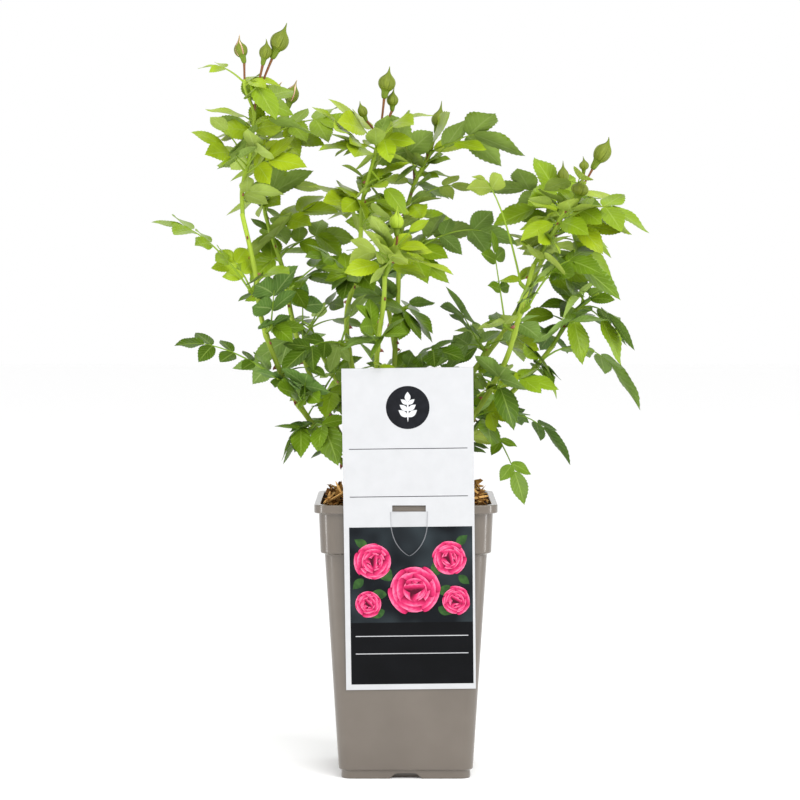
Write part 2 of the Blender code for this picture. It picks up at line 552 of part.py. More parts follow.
def make_mulch(group, material):
    low = PEAT_TOP + GAP
    levels = ((pot_inside(low) - SEAT_GAP, low), (pot_inside(low) - SEAT_GAP, MULCH_TOP))
    mulch = square_stack("bark_mulch", levels, group)
    chips = new_collection("chips")
    dice = random.Random(11)
    reach = pot_inside(low) - CHIP_WALL_GAP
    made = 0
    while made < CHIP_COUNT:
        x, y = dice.uniform(-reach, reach), dice.uniform(-reach, reach)
        length, width = dice.uniform(*CHIP_LENGTH), dice.uniform(*CHIP_WIDTH)
        thick = dice.uniform(*CHIP_THICK)
        turn = dice.uniform(0, math.pi)
        upright = abs(x) > CHIP_HEAP_X
        tilt = dice.choice((-1, 1)) * dice.uniform(*(CHIP_HEAP_TILT if upright else CHIP_TILT))
        end = Vector((math.cos(turn), math.sin(turn))) * length / 2 * math.cos(tilt)
        far_x, far_y = abs(x) + abs(end.x) + width / 2, abs(y) + abs(end.y) + width / 2
        outside = max(far_x, far_y) > reach or far_x + far_y > (2 - CORNER_SHARE) * reach
        beside_strap = abs(x - CARD_CENTRE_X) - STRAP_WIDTH / 2 < CHIP_FREE_RADIUS
        under_strap = beside_strap and y < CHIP_FREE_RADIUS - reach
        if outside or under_strap or math.hypot(x, y) < CHIP_FREE_RADIUS + length / 2:
            continue
        made += 1
        lie = Matrix.Rotation(turn, 4, "Z") @ Matrix.Rotation(tilt, 4, "Y")
        size = Vector((length, width, thick))
        rise = length / 2 * abs(math.sin(tilt)) * CHIP_SHOW
        centre = Vector((x, y, MULCH_TOP + rise))
        box(f"chip_{made}", centre - size / 2, centre + size / 2, chips, lie)
    unite(mulch, chips)
    return finish(mulch, material)


def make_card(group, cutters, material):
    """The card in its own upright plane, with its slot and the strap that hooks over the rim."""
    lip_low = POT_HEIGHT - LIP_HEIGHT
    body_top = POT_HEIGHT - LIP_HEIGHT - COLLAR_HEIGHT
    share = (CARD_FOOT_Z - FOOT_HEIGHT - STEP) / (body_top - FOOT_HEIGHT - STEP)
    face = BODY_LOW_HALF + (BODY_TOP_HALF - BODY_LOW_HALF) * share
    lean = math.atan((RIM_HALF - face) / (lip_low - CARD_FOOT_Z))
    low = -(lip_low - CARD_FOOT_Z) / math.cos(lean)
    half = CARD_WIDTH / 2
    card = box("plant_card", (-half, -CARD_THICK, low), (half, 0, low + CARD_HEIGHT), group)
    hang = Vector((CARD_CENTRE_X, -RIM_HALF - SEAT_GAP, lip_low)) * MM
    place = Matrix.Translation(hang) @ Matrix.Rotation(lean, 4, "X") @ Matrix.Rotation(-CARD_TURN, 4, "Y")
    card.data.transform(place)
    left, right = CARD_CENTRE_X - STRAP_WIDTH / 2, CARD_CENTRE_X + STRAP_WIDTH / 2
    strap_low = POT_HEIGHT + SEAT_GAP
    back = -(pot_inside(POT_HEIGHT - STRAP_DROP) - SEAT_GAP)
    front = -RIM_HALF - (strap_low - lip_low) * math.tan(lean) - SEAT_GAP
    straps = new_collection("straps")
    box("strap_top", (left, front - CARD_THICK / 2, strap_low),
        (right, back + STRAP_THICK, strap_low + STRAP_THICK), straps)
    box("strap_drop", (left, back, POT_HEIGHT - STRAP_DROP),
        (right, back + STRAP_THICK, strap_low + STRAP_THICK), straps)
    ahead, behind = SLOT_CUT
    slot = box("card_slot", (CARD_CENTRE_X - SLOT_WIDTH / 2, -RIM_HALF - ahead, SLOT_LOW),
               (CARD_CENTRE_X + SLOT_WIDTH / 2, -RIM_HALF + behind, SLOT_HIGH), cutters)
    cut(card, slot)
    tongue = plate("card_tongue", TONGUE, 2 * TONGUE_DEPTH, cutters)
    tongue_top = (SLOT_LOW - lip_low) / math.cos(lean) + 0.1
    tongue.data.transform(place @ Matrix.Translation(Vector((0, TONGUE_DEPTH - CARD_THICK, tongue_top)) * MM))
    cut(card, tongue)
    apply_modifiers(card)
    unite(card, straps)
    return finish(card, material)


# ---------------------------------------------------------------- routes of limbs and stalks

def unit(vector):
    return vector / np.linalg.norm(vector)


def smooth_route(knots, spacing):
    """A Catmull-Rom curve through the knots, with about one point for each spacing of length."""
    knots = np.asarray(knots, float)
    length = np.linalg.norm(np.diff(knots, axis=0), axis=1).sum()
    count = max(2, int(round(length / spacing)) + 1)
    ends = np.vstack([2 * knots[0] - knots[1], knots, 2 * knots[-1] - knots[-2]])
    along = np.linspace(0, len(knots) - 1, count)
    first = np.minimum(along.astype(int), len(knots) - 2)
    t = (along - first)[:, None]
    a, b, c, d = ends[first], ends[first + 1], ends[first + 2], ends[first + 3]
    square = 2 * a - 5 * b + 4 * c - d
    cube = 3 * b - a - 3 * c + d
    return 0.5 * (2 * b + (c - a) * t + square * t ** 2 + cube * t ** 3)


def spot_at(route, height):
    """The route's place at a height, and its direction there. Heights past its top give its end."""
    heights = route[:, 2]
    if height >= heights[-1] or heights[-1] - heights[0] < 1:
        return route[-1], unit(route[-1] - route[-2])
    rising = np.maximum.accumulate(heights)
    spot = np.array([np.interp(height, rising, route[:, axis]) for axis in range(3)])
    index = int(np.clip(np.searchsorted(rising, height), 1, len(route) - 1))
    return spot, unit(route[index] - route[index - 1])


def cane_route(knots):
    """Radially out of the knob, 0.3 mm clear of it, and on through the cane's knots."""
    out = unit(np.array(knots[0], float) - KNOB_CENTRE)
    start = KNOB_CENTRE + out * (KNOB_RADIUS + GAP)
    return smooth_route([start, *knots], CANE_SPAN)


def cane_radius(route, height):
    share = (height - route[0, 2]) / (route[-1, 2] - route[0, 2])
    return CANE_FOOT_RADIUS + (CANE_TIP_RADIUS - CANE_FOOT_RADIUS) * min(max(share, 0.0), 1.0)


def shoot_route(shoot, canes):
    """The shoot's points and its radius at the start, clear of its cane."""
    cane = canes[shoot.cane]
    if shoot.start is TIP:
        ahead = unit(cane[-1] - cane[-2])
        onward = unit(np.array(shoot.route[0], float) - cane[-1])
        lean = math.sqrt(max(0.0, 1 - float(ahead @ onward) ** 2))
        start = cane[-1] + ahead * (GAP + CANE_TIP_RADIUS * lean)
        return smooth_route([start, *shoot.route], CANE_SPAN), CANE_TIP_RADIUS
    spot, along = spot_at(cane, shoot.start)
    out = unit(np.array(shoot.route[0], float) - spot)
    slant = abs(float(out @ along))
    clear = cane_radius(cane, shoot.start) + GAP + SIDE_SHOOT_RADIUS * slant
    start = spot + out * clear / math.sqrt(1 - slant ** 2)
    return smooth_route([start, *shoot.route], CANE_SPAN), SIDE_SHOOT_RADIUS


def fill_leaves(fill, dice):
    leaves = []
    for number in range(fill.count):
        heading = math.radians(90 + 180 * (number % 2) + dice.uniform(-28, 28))
        reach = fill.reach * dice.uniform(0.8, 1.1)
        rise = reach * dice.uniform(-0.1, 0.3)
        right, back = reach * math.cos(heading), reach * math.sin(heading)
        leaves.append(Leaf(fill.top - FILL_STEP * number, right, back, rise, 1))
    return leaves


def plan_leaf(root, leaf, turn):
    """The stalk's points, and each leaflet's base, direction, sideways direction and length.

    The leaf's middle line is root + span t + lift t (1 - t), a parabola over its straight span. Its stalk
    has one corner where it carries more than one pair. Leaflets lie in a plane that holds the line's
    direction and is turned about it.
    """
    span = np.array((leaf.right, leaf.back, leaf.up), float)
    length = float(np.linalg.norm(span))
    lift = UP * 4 * leaf.arch * length
    size = min((LEAFLET_BASE[leaf.pairs] + LEAFLET_SHARE * length) * leaf.size, LEAFLET_MOST * length)
    stalk_end = 1 - size / length
    corners = (0.0, 1.0) if leaf.pairs < 2 else (0.0, STALK_CORNER, 1.0)

    def middle(t):
        return root + span * t + lift * t * (1 - t)

    def on_stalk(share):
        return np.array([np.interp(share, corners, [middle(at * stalk_end)[axis] for at in corners])
                         for axis in range(3)])

    def plane(t):
        ahead = unit(span + lift * (1 - 2 * t))
        level = np.cross(ahead, UP)
        level = unit(level) if np.linalg.norm(level) > 0.25 else np.array((0.0, 1.0, 0.0))
        angle = turn if level[1] > 0 else -turn
        side = level * math.cos(angle) + np.cross(level, ahead) * math.sin(angle)
        return ahead, side

    _, side = plane(stalk_end)
    base = on_stalk(1.0)
    tip = middle(1.0)
    leaflets = [(base, unit(tip - base), side, float(np.linalg.norm(tip - base)))]
    for at, share in zip(PAIR_AT[leaf.pairs], PAIR_SIZE[leaf.pairs]):
        ahead, side = plane(at * stalk_end)
        for hand in (-1, 1):
            along = unit(ahead * PAIR_AIM[0] + side * PAIR_AIM[1] * hand - UP * PAIR_AIM[2])
            across = unit(np.cross(along, np.cross(side, ahead)))
            stagger = hand * PAIR_STAGGER / (length * stalk_end)
            leaflets.append((on_stalk(at + stagger), along, across, size * share))
    stalk = [on_stalk(at) for at in corners]
    stalk[-1] = stalk[-1] + unit(stalk[-1] - stalk[-2]) * END_ROOT
    return stalk, leaflets


# ---------------------------------------------------------------- plant solids

def leaflet_mesh(name, base, along, across, length, yaw=0.0, root=-LEAFLET_ROOT, grow=0.0):
    """A ball of four sides and two rings, flattened and drawn out to a pointed leaflet of eight faces.

    Its ends are the root, sunk past the stalk's middle, and the tip. Its edges are raised to either side
    of the midrib, and it bends down towards the tip. The ball's poles give the midrib's thickness.
    """
    normal = np.cross(across, along)
    along = along * math.cos(yaw) + across * math.sin(yaw)
    across = np.cross(along, normal)
    half = LEAFLET_HALF * length + grow
    fold = LEAFLET_FOLD * half
    thick = LEAFLET_THICK / 2 + grow
    mid = LEAFLET_WIDEST
    places = {(1, 0, 0): (1.0, 0.0, 0.0), (-1, 0, 0): (root / length, 0.0, 0.0),
              (0, 1, 0): (mid, -half, fold), (0, -1, 0): (mid, half, fold),
              (0, 0, 1): (mid, 0.0, thick), (0, 0, -1): (mid, 0.0, -thick)}
    bm = bmesh.new()
    bmesh.ops.create_uvsphere(bm, u_segments=4, v_segments=2, radius=1.0)
    for vert in bm.verts:
        u, side, rise = places[tuple(round(value) for value in vert.co)]
        droop = UP * LEAFLET_BEND * length * u ** 2
        vert.co = Vector((base + along * u * length + across * side + normal * rise - droop) * MM)
    return mesh_from(bm, name)


def bud_limb(name, neck, tip, width, group):
    neck, tip = np.array(neck, float), np.array(tip, float)
    points = [neck + (tip - neck) * at for at, _ in BUD_PROFILE]
    radii = [width / 2 * share for _, share in BUD_PROFILE]
    return limb(name, points, radii, group, sides=6 if width > SMALL_BUD else 5)


def make_stem(group, material):
    """The short stem on the mulch and the rounded knob that the canes spring from."""
    foot = MULCH_TOP + GAP
    neck = KNOB_CENTRE[2] - KNOB_RADIUS * 0.6
    stem = limb("stem", [(0, 0, foot), (0, 0, foot + 2.5), (0, 0, neck)],
                [STEM_FOOT_RADIUS, STEM_NECK_RADIUS + 1, STEM_NECK_RADIUS], group, sides=12)
    knobs = new_collection("knobs")
    bm = bmesh.new()
    bmesh.ops.create_uvsphere(bm, u_segments=12, v_segments=8, radius=KNOB_RADIUS * MM,
                              matrix=Matrix.Translation(Vector(KNOB_CENTRE) * MM))
    new_object("knob", mesh_from(bm, "knob"), knobs)
    unite(stem, knobs)
    return finish(stem, material, 40)


def make_cane(name, route, starts, group, material):
    """One tapering limb with prickles that lean downwards, none where a shoot stands on it."""
    radii = [cane_radius(route, spot[2]) for spot in route]
    cane = limb("cane_" + name, route, radii, group)
    prickles = new_collection("prickles")
    height = route[0, 2] + PRICKLE_SPACING
    number = len(name)
    while height < route[-1, 2] - PRICKLE_CLEAR:
        spot, along = spot_at(route, height)
        side = unit(np.cross(along, (0.3, 1.0, 0.2)))
        other = np.cross(along, side)
        heading = number * GOLDEN_ANGLE
        out = unit(side * math.cos(heading) + other * math.sin(heading) - along * PRICKLE_LEAN)
        if all(abs(height - start) > PRICKLE_CLEAR for start in starts):
            inner = spot + out * cane_radius(route, height) * PRICKLE_ROOT
            outer = spot + out * (cane_radius(route, height) + PRICKLE_LENGTH)
            limb(f"prickle_{number}", [inner, outer], [PRICKLE_RADIUS, PRICKLE_END], prickles, sides=3)
        number += 1
        height += PRICKLE_SPACING
    unite(cane, prickles)
    return finish(cane, material, 40)


def make_leaf(name, root, leaf, turn, taken, near, group):
    """The stalk and its leaflets. A leaflet that would touch another swings aside, or is left out."""
    for swing in SWINGS:
        spin = np.array(Matrix.Rotation(math.radians(swing), 3, "Z"))
        span = spin @ np.array((leaf.right, leaf.back, leaf.up), float)
        tried = leaf._replace(right=span[0], back=span[1], up=span[2])
        stalk_points, leaflets = plan_leaf(root, tried, turn)
        radii = np.linspace(STALK_RADIUS * 0.9, STALK_RADIUS, len(stalk_points))
        stalk = limb(name, stalk_points, radii, group, sides=3)
        if not touches(tree_of(stalk.data), taken):
            break
        bpy.data.objects.remove(stalk, do_unlink=True)
    else:
        return 0
    made = []
    for number, (base, along, across, length) in enumerate(leaflets):
        for yaw in YAWS:
            shape = (base, along, across, length, math.radians(yaw))
            whole = tree_of(leaflet_mesh("whole", *shape, -LEAFLET_ROOT, TOUCH_MARGIN))
            free = tree_of(leaflet_mesh("free", *shape, FREE_ROOT, TOUCH_MARGIN))
            if touches(whole, taken) or touches(free, near) or touches(free, made):
                continue
            new_object(f"{name}_{number}", leaflet_mesh(f"{name}_{number}", *shape), group)
            made.append(tree_of(leaflet_mesh("free", *shape, FREE_ROOT)))
            break
    near += made
    return len(made)


def make_shoot(shoot, canes, taken, dice, group, material):
    route, start_radius = shoot_route(shoot, canes)
    radii = np.linspace(start_radius, SHOOT_TIP_RADIUS, len(route))
    stem = limb("shoot_" + shoot.name, route, radii, group)
    pieces = new_collection(shoot.name)
    near = []
    for number, bud in enumerate(shoot.buds):
        root, _ = spot_at(route, bud.at)
        neck, tip = np.array(bud.neck, float), np.array(bud.tip, float)
        inside = neck + (tip - neck) * 0.1
        limb(f"bud_stalk_{number}", [root, inside], [BUD_STALK_RADIUS] * 2, pieces, sides=3)
        near.append(tree_of(bud_limb(f"bud_{number}", neck, tip, bud.width, pieces).data))
    leaves = list(shoot.leaves)
    if shoot.fill:
        leaves += fill_leaves(shoot.fill, dice)
    made = 0
    for number, leaf in enumerate(leaves):
        root, along = spot_at(route, leaf.at)
        if leaf.at >= route[-1, 2]:
            root = root - along * ROOT_STEP * (number + 1)
        turn = math.radians(dice.uniform(*LEAF_TURN)) * (1 if dice.random() < LEAF_TURN_UP else -1)
        made += make_leaf(f"leaf_{number}", root, leaf, turn, taken, near, pieces)
    unite(stem, pieces)
    print("shoot", shoot.name, "leaflets", made)
    return finish(stem, material)


# ---------------------------------------------------------------- the whole object

def build():
    clear_scene()
    rose = new_collection("potted_rose_bush")
    cutters = new_collection("cutters")
    plastic = new_material("pot_plastic", (0.235, 0.195, 0.165), 0.5)
    peat = new_material("peat", (0.03, 0.018, 0.01), 0.95)
    bark = new_material("bark_mulch", (0.30, 0.17, 0.07), 0.9)
    card_stock = new_material("coated_card", (0.88, 0.88, 0.88), 0.35)
    old_wood = new_material("grafted_wood", (0.16, 0.13, 0.05), 0.8)
    cane_green = new_material("cane_green", (0.27, 0.42, 0.06), 0.5)
    leaf_green = new_material("leaf_green", (0.12, 0.27, 0.03), 0.5)

    solid = [make_pot(rose, cutters, plastic), make_root_ball(rose, peat), make_mulch(rose, bark),
             make_card(rose, cutters, card_stock), make_stem(rose, old_wood)]
    canes = {name: cane_route(knots) for name, knots in CANES.items()}
    for name, route in canes.items():
        starts = [shoot.start for shoot in SHOOTS if shoot.cane == name and shoot.start is not TIP]
        solid.append(make_cane(name, route, starts, rose, cane_green))
    taken = [tree_of(obj.data) for obj in solid]
    dice = random.Random(7)
    for shoot in SHOOTS:
        made = make_shoot(shoot, canes, taken, dice, rose, leaf_green)
        taken.append(tree_of(made.data))


build()
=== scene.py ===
# %% [markdown]
# # A rose bush in a deep pot
# A nursery rose is sold as a bush of a few thorny canes in a deep square pot, with a plant card hooked over
# the rim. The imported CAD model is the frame: it fixes where each cane starts and how far each leafy shoot
# reaches. This lesson keeps those places and makes what the eye looks at: the moulded pot, the bark chips,
# the printed card, the canes with their prickles, and about a thousand leaflets.

# %% Load the frame
import math
import random
from collections import namedtuple

import bpy
import numpy as np
from mathutils import Matrix, Vector
from mathutils.bvhtree import BVHTree


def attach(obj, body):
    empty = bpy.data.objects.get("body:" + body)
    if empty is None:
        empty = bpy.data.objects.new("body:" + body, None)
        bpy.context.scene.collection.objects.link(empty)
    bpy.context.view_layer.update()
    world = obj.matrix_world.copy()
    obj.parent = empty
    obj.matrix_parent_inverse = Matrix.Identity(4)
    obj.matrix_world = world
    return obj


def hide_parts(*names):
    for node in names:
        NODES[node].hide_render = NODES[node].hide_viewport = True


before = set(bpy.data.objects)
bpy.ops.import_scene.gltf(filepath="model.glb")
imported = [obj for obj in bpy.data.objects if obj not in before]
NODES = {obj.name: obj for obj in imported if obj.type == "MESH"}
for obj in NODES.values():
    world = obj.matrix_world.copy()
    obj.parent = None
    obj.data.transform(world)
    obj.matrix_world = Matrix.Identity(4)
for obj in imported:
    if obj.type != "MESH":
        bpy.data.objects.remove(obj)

MM = 0.001
UP = np.array((0.0, 0.0, 1.0))
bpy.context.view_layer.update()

# %% [markdown]
# ## Camera, floor and light
# A tall, thin subject is taken from far away with a long lens, so that its upright lines stay upright. The
# camera stands 2.6 m off, a little above the middle of the plant, and looks down by three degrees. A white
# room lights a plant softly from all round, and one large lamp from the upper right gives the leaves a bright
# side and a dark side. Two tall, narrow lamps stand in front of the pot, one on each side. Their gleam runs
# down its rounded corners and shows how smooth the plastic is. The floor is a plain pale sheet, and it throws
# light back up on to the pot.

# %% Camera, floor and light
CAMERA_PLACE = (-5.1, -2577.0, 460.0)
CAMERA_DOWN = math.radians(2.97)
FOCAL_PIXELS = 2928.0
IMAGE_WIDTH = 800
SENSOR_WIDTH = 36.0
FLOOR_HALF = 9000.0
# Each lamp's name, place and aim in millimetres, width and height in metres, and power in watts.
LAMPS = (("soft_lamp", (700.0, -1800.0, 2300.0), (0.0, 0.0, 400.0), 1.6, 1.6, 46.0),
         ("left_strip", (-950.0, -550.0, 380.0), (0.0, 0.0, 380.0), 0.16, 1.2, 5.5),
         ("right_strip", (950.0, -550.0, 380.0), (0.0, 0.0, 380.0), 0.16, 1.2, 5.5))


def linear(code):
    """sRGB hex to linear: each channel c is c / 12.92 in the darks, else ((c + 0.055) / 1.055) to the 2.4."""
    parts = np.array([int(code[at:at + 2], 16) for at in (1, 3, 5)]) / 255
    parts = np.where(parts > 0.04045, ((parts + 0.055) / 1.055) ** 2.4, parts / 12.92)
    return (*parts.tolist(), 1.0)


def socket_of(source):
    return source.outputs[0] if isinstance(source, bpy.types.Node) else source


def add(tree, kind, inputs=None, stops=None, **settings):
    """Add a shader node. Settings are its properties, and stops are a colour ramp's places and colours. Inputs,
    by name or number, are values, or what they link to: a socket, or a node for its first output."""
    node = tree.nodes.new("ShaderNode" + kind)
    for name, value in settings.items():
        setattr(node, name, value)
    for key, value in (inputs or {}).items():
        if isinstance(value, (bpy.types.Node, bpy.types.NodeSocket)):
            tree.links.new(socket_of(value), node.inputs[key])
        else:
            node.inputs[key].default_value = value
    if stops:
        while len(node.color_ramp.elements) < len(stops):
            node.color_ramp.elements.new(0.5)
        for element, (place, code) in zip(node.color_ramp.elements, stops):
            element.position = place
            element.color = linear(code)
    return node


def new_finish(name, **constants):
    """A Principled material, with constants on the shader's own sockets. Underscores stand for spaces."""
    material = bpy.data.materials.new(name)
    material.use_nodes = True
    shader = material.node_tree.nodes["Principled BSDF"]
    for key, value in constants.items():
        shader.inputs[key.replace("_", " ")].default_value = value
    return material, material.node_tree


def dressed(material, colour, bump=None):
    """The material with its colour and its bump linked into the shader."""
    tree = material.node_tree
    shader = tree.nodes["Principled BSDF"]
    tree.links.new(socket_of(colour), shader.inputs["Base Color"])
    if bump:
        tree.links.new(socket_of(bump), shader.inputs["Normal"])
    return material


camera = bpy.data.cameras.new("camera")
camera.sensor_width = SENSOR_WIDTH
camera.lens = FOCAL_PIXELS / IMAGE_WIDTH * SENSOR_WIDTH
camera.clip_end = 50
camera_object = bpy.data.objects.new("camera", camera)
camera_object.location = Vector(CAMERA_PLACE) * MM
camera_object.rotation_euler = (math.radians(90) - CAMERA_DOWN, 0, 0)
bpy.context.scene.collection.objects.link(camera_object)
bpy.context.scene.camera = camera_object

for name, place, aim, width, height, watts in LAMPS:
    lamp = bpy.data.lights.new(name, "AREA")
    lamp.shape = "RECTANGLE"
    lamp.size, lamp.size_y = width, height
    lamp.energy = watts
    lamp_object = bpy.data.objects.new(name, lamp)
    lamp_object.location = Vector(place) * MM
    lamp_object.rotation_euler = (Vector(aim) - Vector(place)).to_track_quat("-Z", "Y").to_euler()
    lamp_object.visible_camera = False
    bpy.context.scene.collection.objects.link(lamp_object)

world = bpy.data.worlds.new("white_room")
world.use_nodes = True
world.node_tree.nodes["Background"].inputs["Color"].default_value = (1.0, 1.0, 1.0, 1.0)
world.node_tree.nodes["Background"].inputs["Strength"].default_value = 1.0
bpy.context.scene.world = world
bpy.context.scene.view_settings.view_transform = "Standard"

floor_mesh = bpy.data.meshes.new("floor")
corners = np.array(((-1, -1, 0), (1, -1, 0), (1, 1, 0), (-1, 1, 0))) * FLOOR_HALF * MM
floor_mesh.from_pydata(corners.tolist(), [], [(0, 1, 2, 3)])
floor = bpy.data.objects.new("floor", floor_mesh)
bpy.context.scene.collection.objects.link(floor)
floor_mesh.materials.append(new_finish("matt_white_floor", Base_Color=linear("#fdfdfd"), Roughness=0.95)[0])
print("camera:", CAMERA_PLACE, "mm, lens", round(camera.lens, 1), "mm")

# %% [markdown]
# ## One kind of surface for almost everything
# A stem, a leaf stalk, a prickle, a bud, a bark chip and even a leaf are the same thing to a modeller: rings
# of points carried along a path, joined by four-sided faces and closed by a fan at each end. Working all
# copies out at once as numpy arrays is fast, and it keeps one recipe for hundreds of leaves. Modelling a leaf
# by hand and scattering it would be the other way, but an export drops instances.

# %% Skins from rings of points
def skin(name, rings, poles, finishes, slots=None, uv=None, smooth=55):
    """Closed skins. Rings holds points in millimetres as (copies, stations, sides, 3), and poles the two end
    points of each copy. The face between stations i, i + 1 and sides k, k + 1 is a quad, and each end closes
    in a fan. Slots gives the finish of each side's faces, and uv a place on the surface for each ring point."""
    copies, stations, sides = rings.shape[:3]
    points = np.concatenate([rings.reshape(copies, -1, 3), poles], axis=1)
    i, k = np.meshgrid(np.arange(stations - 1), np.arange(sides), indexing="ij")
    on = (k + 1) % sides
    quads = np.stack([i * sides + k, i * sides + on, (i + 1) * sides + on, (i + 1) * sides + k], -1)
    k, on = k[0], on[0]
    last = (stations - 1) * sides
    start_fan = np.stack([np.full(sides, stations * sides), on, k], -1)
    end_fan = np.stack([np.full(sides, stations * sides + 1), last + k, last + on], -1)
    fans = np.concatenate([start_fan, end_fan])
    shift = np.arange(copies)[:, None, None] * points.shape[1]
    faces = (quads.reshape(-1, 4) + shift).reshape(-1, 4).tolist() + (fans + shift).reshape(-1, 3).tolist()
    mesh = bpy.data.meshes.new(name)
    mesh.from_pydata((points.reshape(-1, 3) * MM).tolist(), [], faces)
    for material in finishes:
        mesh.materials.append(material)
    if slots is not None:
        slots = np.broadcast_to(slots, (copies, sides))
        on_quads = np.repeat(slots[:, None], stations - 1, axis=1).ravel()
        on_fans = np.repeat(slots[:, None], 2, axis=1).ravel()
        mesh.polygons.foreach_set("material_index", np.concatenate([on_quads, on_fans]).astype(np.int32))
    if uv is not None:
        uv = np.broadcast_to(uv, (copies, stations, sides, 2))
        places = np.concatenate([uv.reshape(copies, -1, 2), uv[:, (0, -1), 0]], axis=1).reshape(-1, 2)
        corner_points = np.empty(len(mesh.loops), np.int32)
        mesh.loops.foreach_get("vertex_index", corner_points)
        layer = mesh.uv_layers.new(name="surface")
        layer.data.foreach_set("uv", places[corner_points].ravel())
    mesh.shade_smooth()
    mesh.set_sharp_from_angle(angle=math.radians(smooth))
    mesh.update()
    piece = bpy.data.objects.new(name, mesh)
    bpy.context.scene.collection.objects.link(piece)
    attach(piece, "root")
    print(f"{name}: {copies} skins, {len(mesh.polygons)} faces")
    return piece


def unit(vectors):
    return vectors / np.linalg.norm(vectors, axis=-1, keepdims=True)


def path_frames(paths):
    """Two directions square to each path and to each other, by the axis that the path leans on least."""
    ahead = unit(np.gradient(paths, axis=1))
    axis = np.eye(3)[np.abs(ahead.mean(axis=1)).argmin(axis=1)]
    first = unit(np.cross(ahead, axis[:, None]))
    return first, np.cross(ahead, first)


def tube(paths, radii, sides, spread=(1.0, 1.0)):
    """Rings round paths: centre + r (cos a first + sin a second). Radii is (copies, stations) or has a value
    for each side as well, and spread flattens the rings. The poles stand half a radius past the ends."""
    paths = np.asarray(paths, float)
    radii = np.asarray(radii, float)
    radii = radii[..., None] if radii.ndim == 2 else radii
    first, second = path_frames(paths)
    angle = np.arange(sides) * 2 * np.pi / sides
    across = radii * np.cos(angle) * spread[0]
    other = radii * np.sin(angle) * spread[1]
    rings = paths[:, :, None] + across[..., None] * first[:, :, None] + other[..., None] * second[:, :, None]
    ends = radii[:, (0, -1)].mean(axis=-1)[..., None] * 0.5
    outward = np.stack([unit(paths[:, 0] - paths[:, 1]), unit(paths[:, -1] - paths[:, -2])], axis=1)
    return rings, paths[:, (0, -1)] + outward * ends


def along_and_round(copies, stations, sides, length=1.0):
    """A tube's own map: 0 to length along it, and 0 to 1 to 0 again round it, with no seam."""
    u = np.linspace(0, 1, stations)[None, :, None] * np.reshape(length, (-1, 1, 1))
    v = np.abs(np.linspace(-1, 1, sides, endpoint=False))
    return np.stack(np.broadcast_arrays(u, v[None, None, :], np.zeros((copies, 1, 1)))[:2], axis=-1)


def tube_skin(name, paths, radii, sides, finish, length):
    """Tubes of one finish, whose map is a number of widths long."""
    rings, poles = tube(paths, radii, sides)
    return skin(name, rings, poles, [finish], uv=along_and_round(*rings.shape[:3], length))


# %% [markdown]
# ## The pot
# The real pot is injection-moulded polypropylene: thin walls that taper so that pots stack, a collar under
# the rim, a small lip, a step above the foot and a notch in the middle of each side that lets water out.
# It could be a cube with bevels and extrusions. Here it is one profile of half widths and heights carried
# round a rounded square, because each ring of a moulded pot is the same square at another size.

# %% Pot
POT_HEIGHT = 240.0
RIM_HALF = 78.9
LIP_HEIGHT = 7.3
COLLAR_TOP_HALF = 75.0
COLLAR_LOW_HALF = 73.6
COLLAR_HEIGHT = 36.0
BODY_TOP_HALF = 70.1
BODY_LOW_HALF = 58.4
FOOT_HALF = 56.1
FOOT_HEIGHT = 7.0
STEP = 1.2
WALL = 1.8
FLOOR_TOP = 9.0
CORNER_SHARE = 0.16
BODY_TOP = POT_HEIGHT - LIP_HEIGHT - COLLAR_HEIGHT
LIP_LOW = POT_HEIGHT - LIP_HEIGHT
NOTCH_HALF = 13.0
NOTCH_DEPTH = 9.0
NOTCH_HEIGHT = 5.0
EDGE_ROUND = 0.9
EDGE_HOLD = 0.5


def rounded_square(corner_steps, side_steps):
    """Points round a square of half width 1: a quarter circle of radius CORNER_SHARE, then a straight side,
    four times over."""
    turn = np.linspace(0, np.pi / 2, corner_steps)
    corner = 1 - CORNER_SHARE + CORNER_SHARE * np.stack([np.cos(turn), np.sin(turn)], -1)
    across = np.linspace(1 - CORNER_SHARE, CORNER_SHARE - 1, side_steps)[1:-1]
    quarter = np.concatenate([corner, np.stack([across, np.ones_like(across)], -1)])
    turns = np.array([[[math.cos(a), math.sin(a)], [-math.sin(a), math.cos(a)]]
                      for a in np.arange(4) * np.pi / 2])
    return np.concatenate(quarter @ turns)


def rounded_profile(corners, radius, steps=4):
    """The profile with each inner corner p rounded by a parabola: a (1 - t)^2 + 2 p t (1 - t) + b t^2, where
    a and b lie a radius before and after p, or half way where the neighbours are nearer."""
    corners = np.asarray(corners, float)
    here = corners[1:-1]
    to_before, to_after = corners[:-2] - here, corners[2:] - here
    near = np.linalg.norm(to_before, axis=1, keepdims=True)
    far = np.linalg.norm(to_after, axis=1, keepdims=True)
    start = here + to_before * np.minimum(radius, near / 2) / near
    end = here + to_after * np.minimum(radius, far / 2) / far
    t = np.linspace(0, 1, steps)[None, :, None]
    arcs = start[:, None] * (1 - t) ** 2 + 2 * here[:, None] * t * (1 - t) + end[:, None] * t ** 2
    return np.concatenate([corners[:1], arcs.reshape(-1, 2), corners[-1:]])


def held_profile(points, hold):
    """The profile with two more points in each long run, a hold in from its ends. A flat wall then keeps its
    own direction right up to its rounded edges, and light runs straight down it."""
    run = np.diff(points, axis=0)
    length = np.linalg.norm(run, axis=1)
    spans = [np.array([start, start + step * hold / long, start + step * (1 - hold / long)] if long > 4 * hold
                      else [start]) for start, step, long in zip(points[:-1], run, length)]
    return np.concatenate([*spans, points[-1:]])


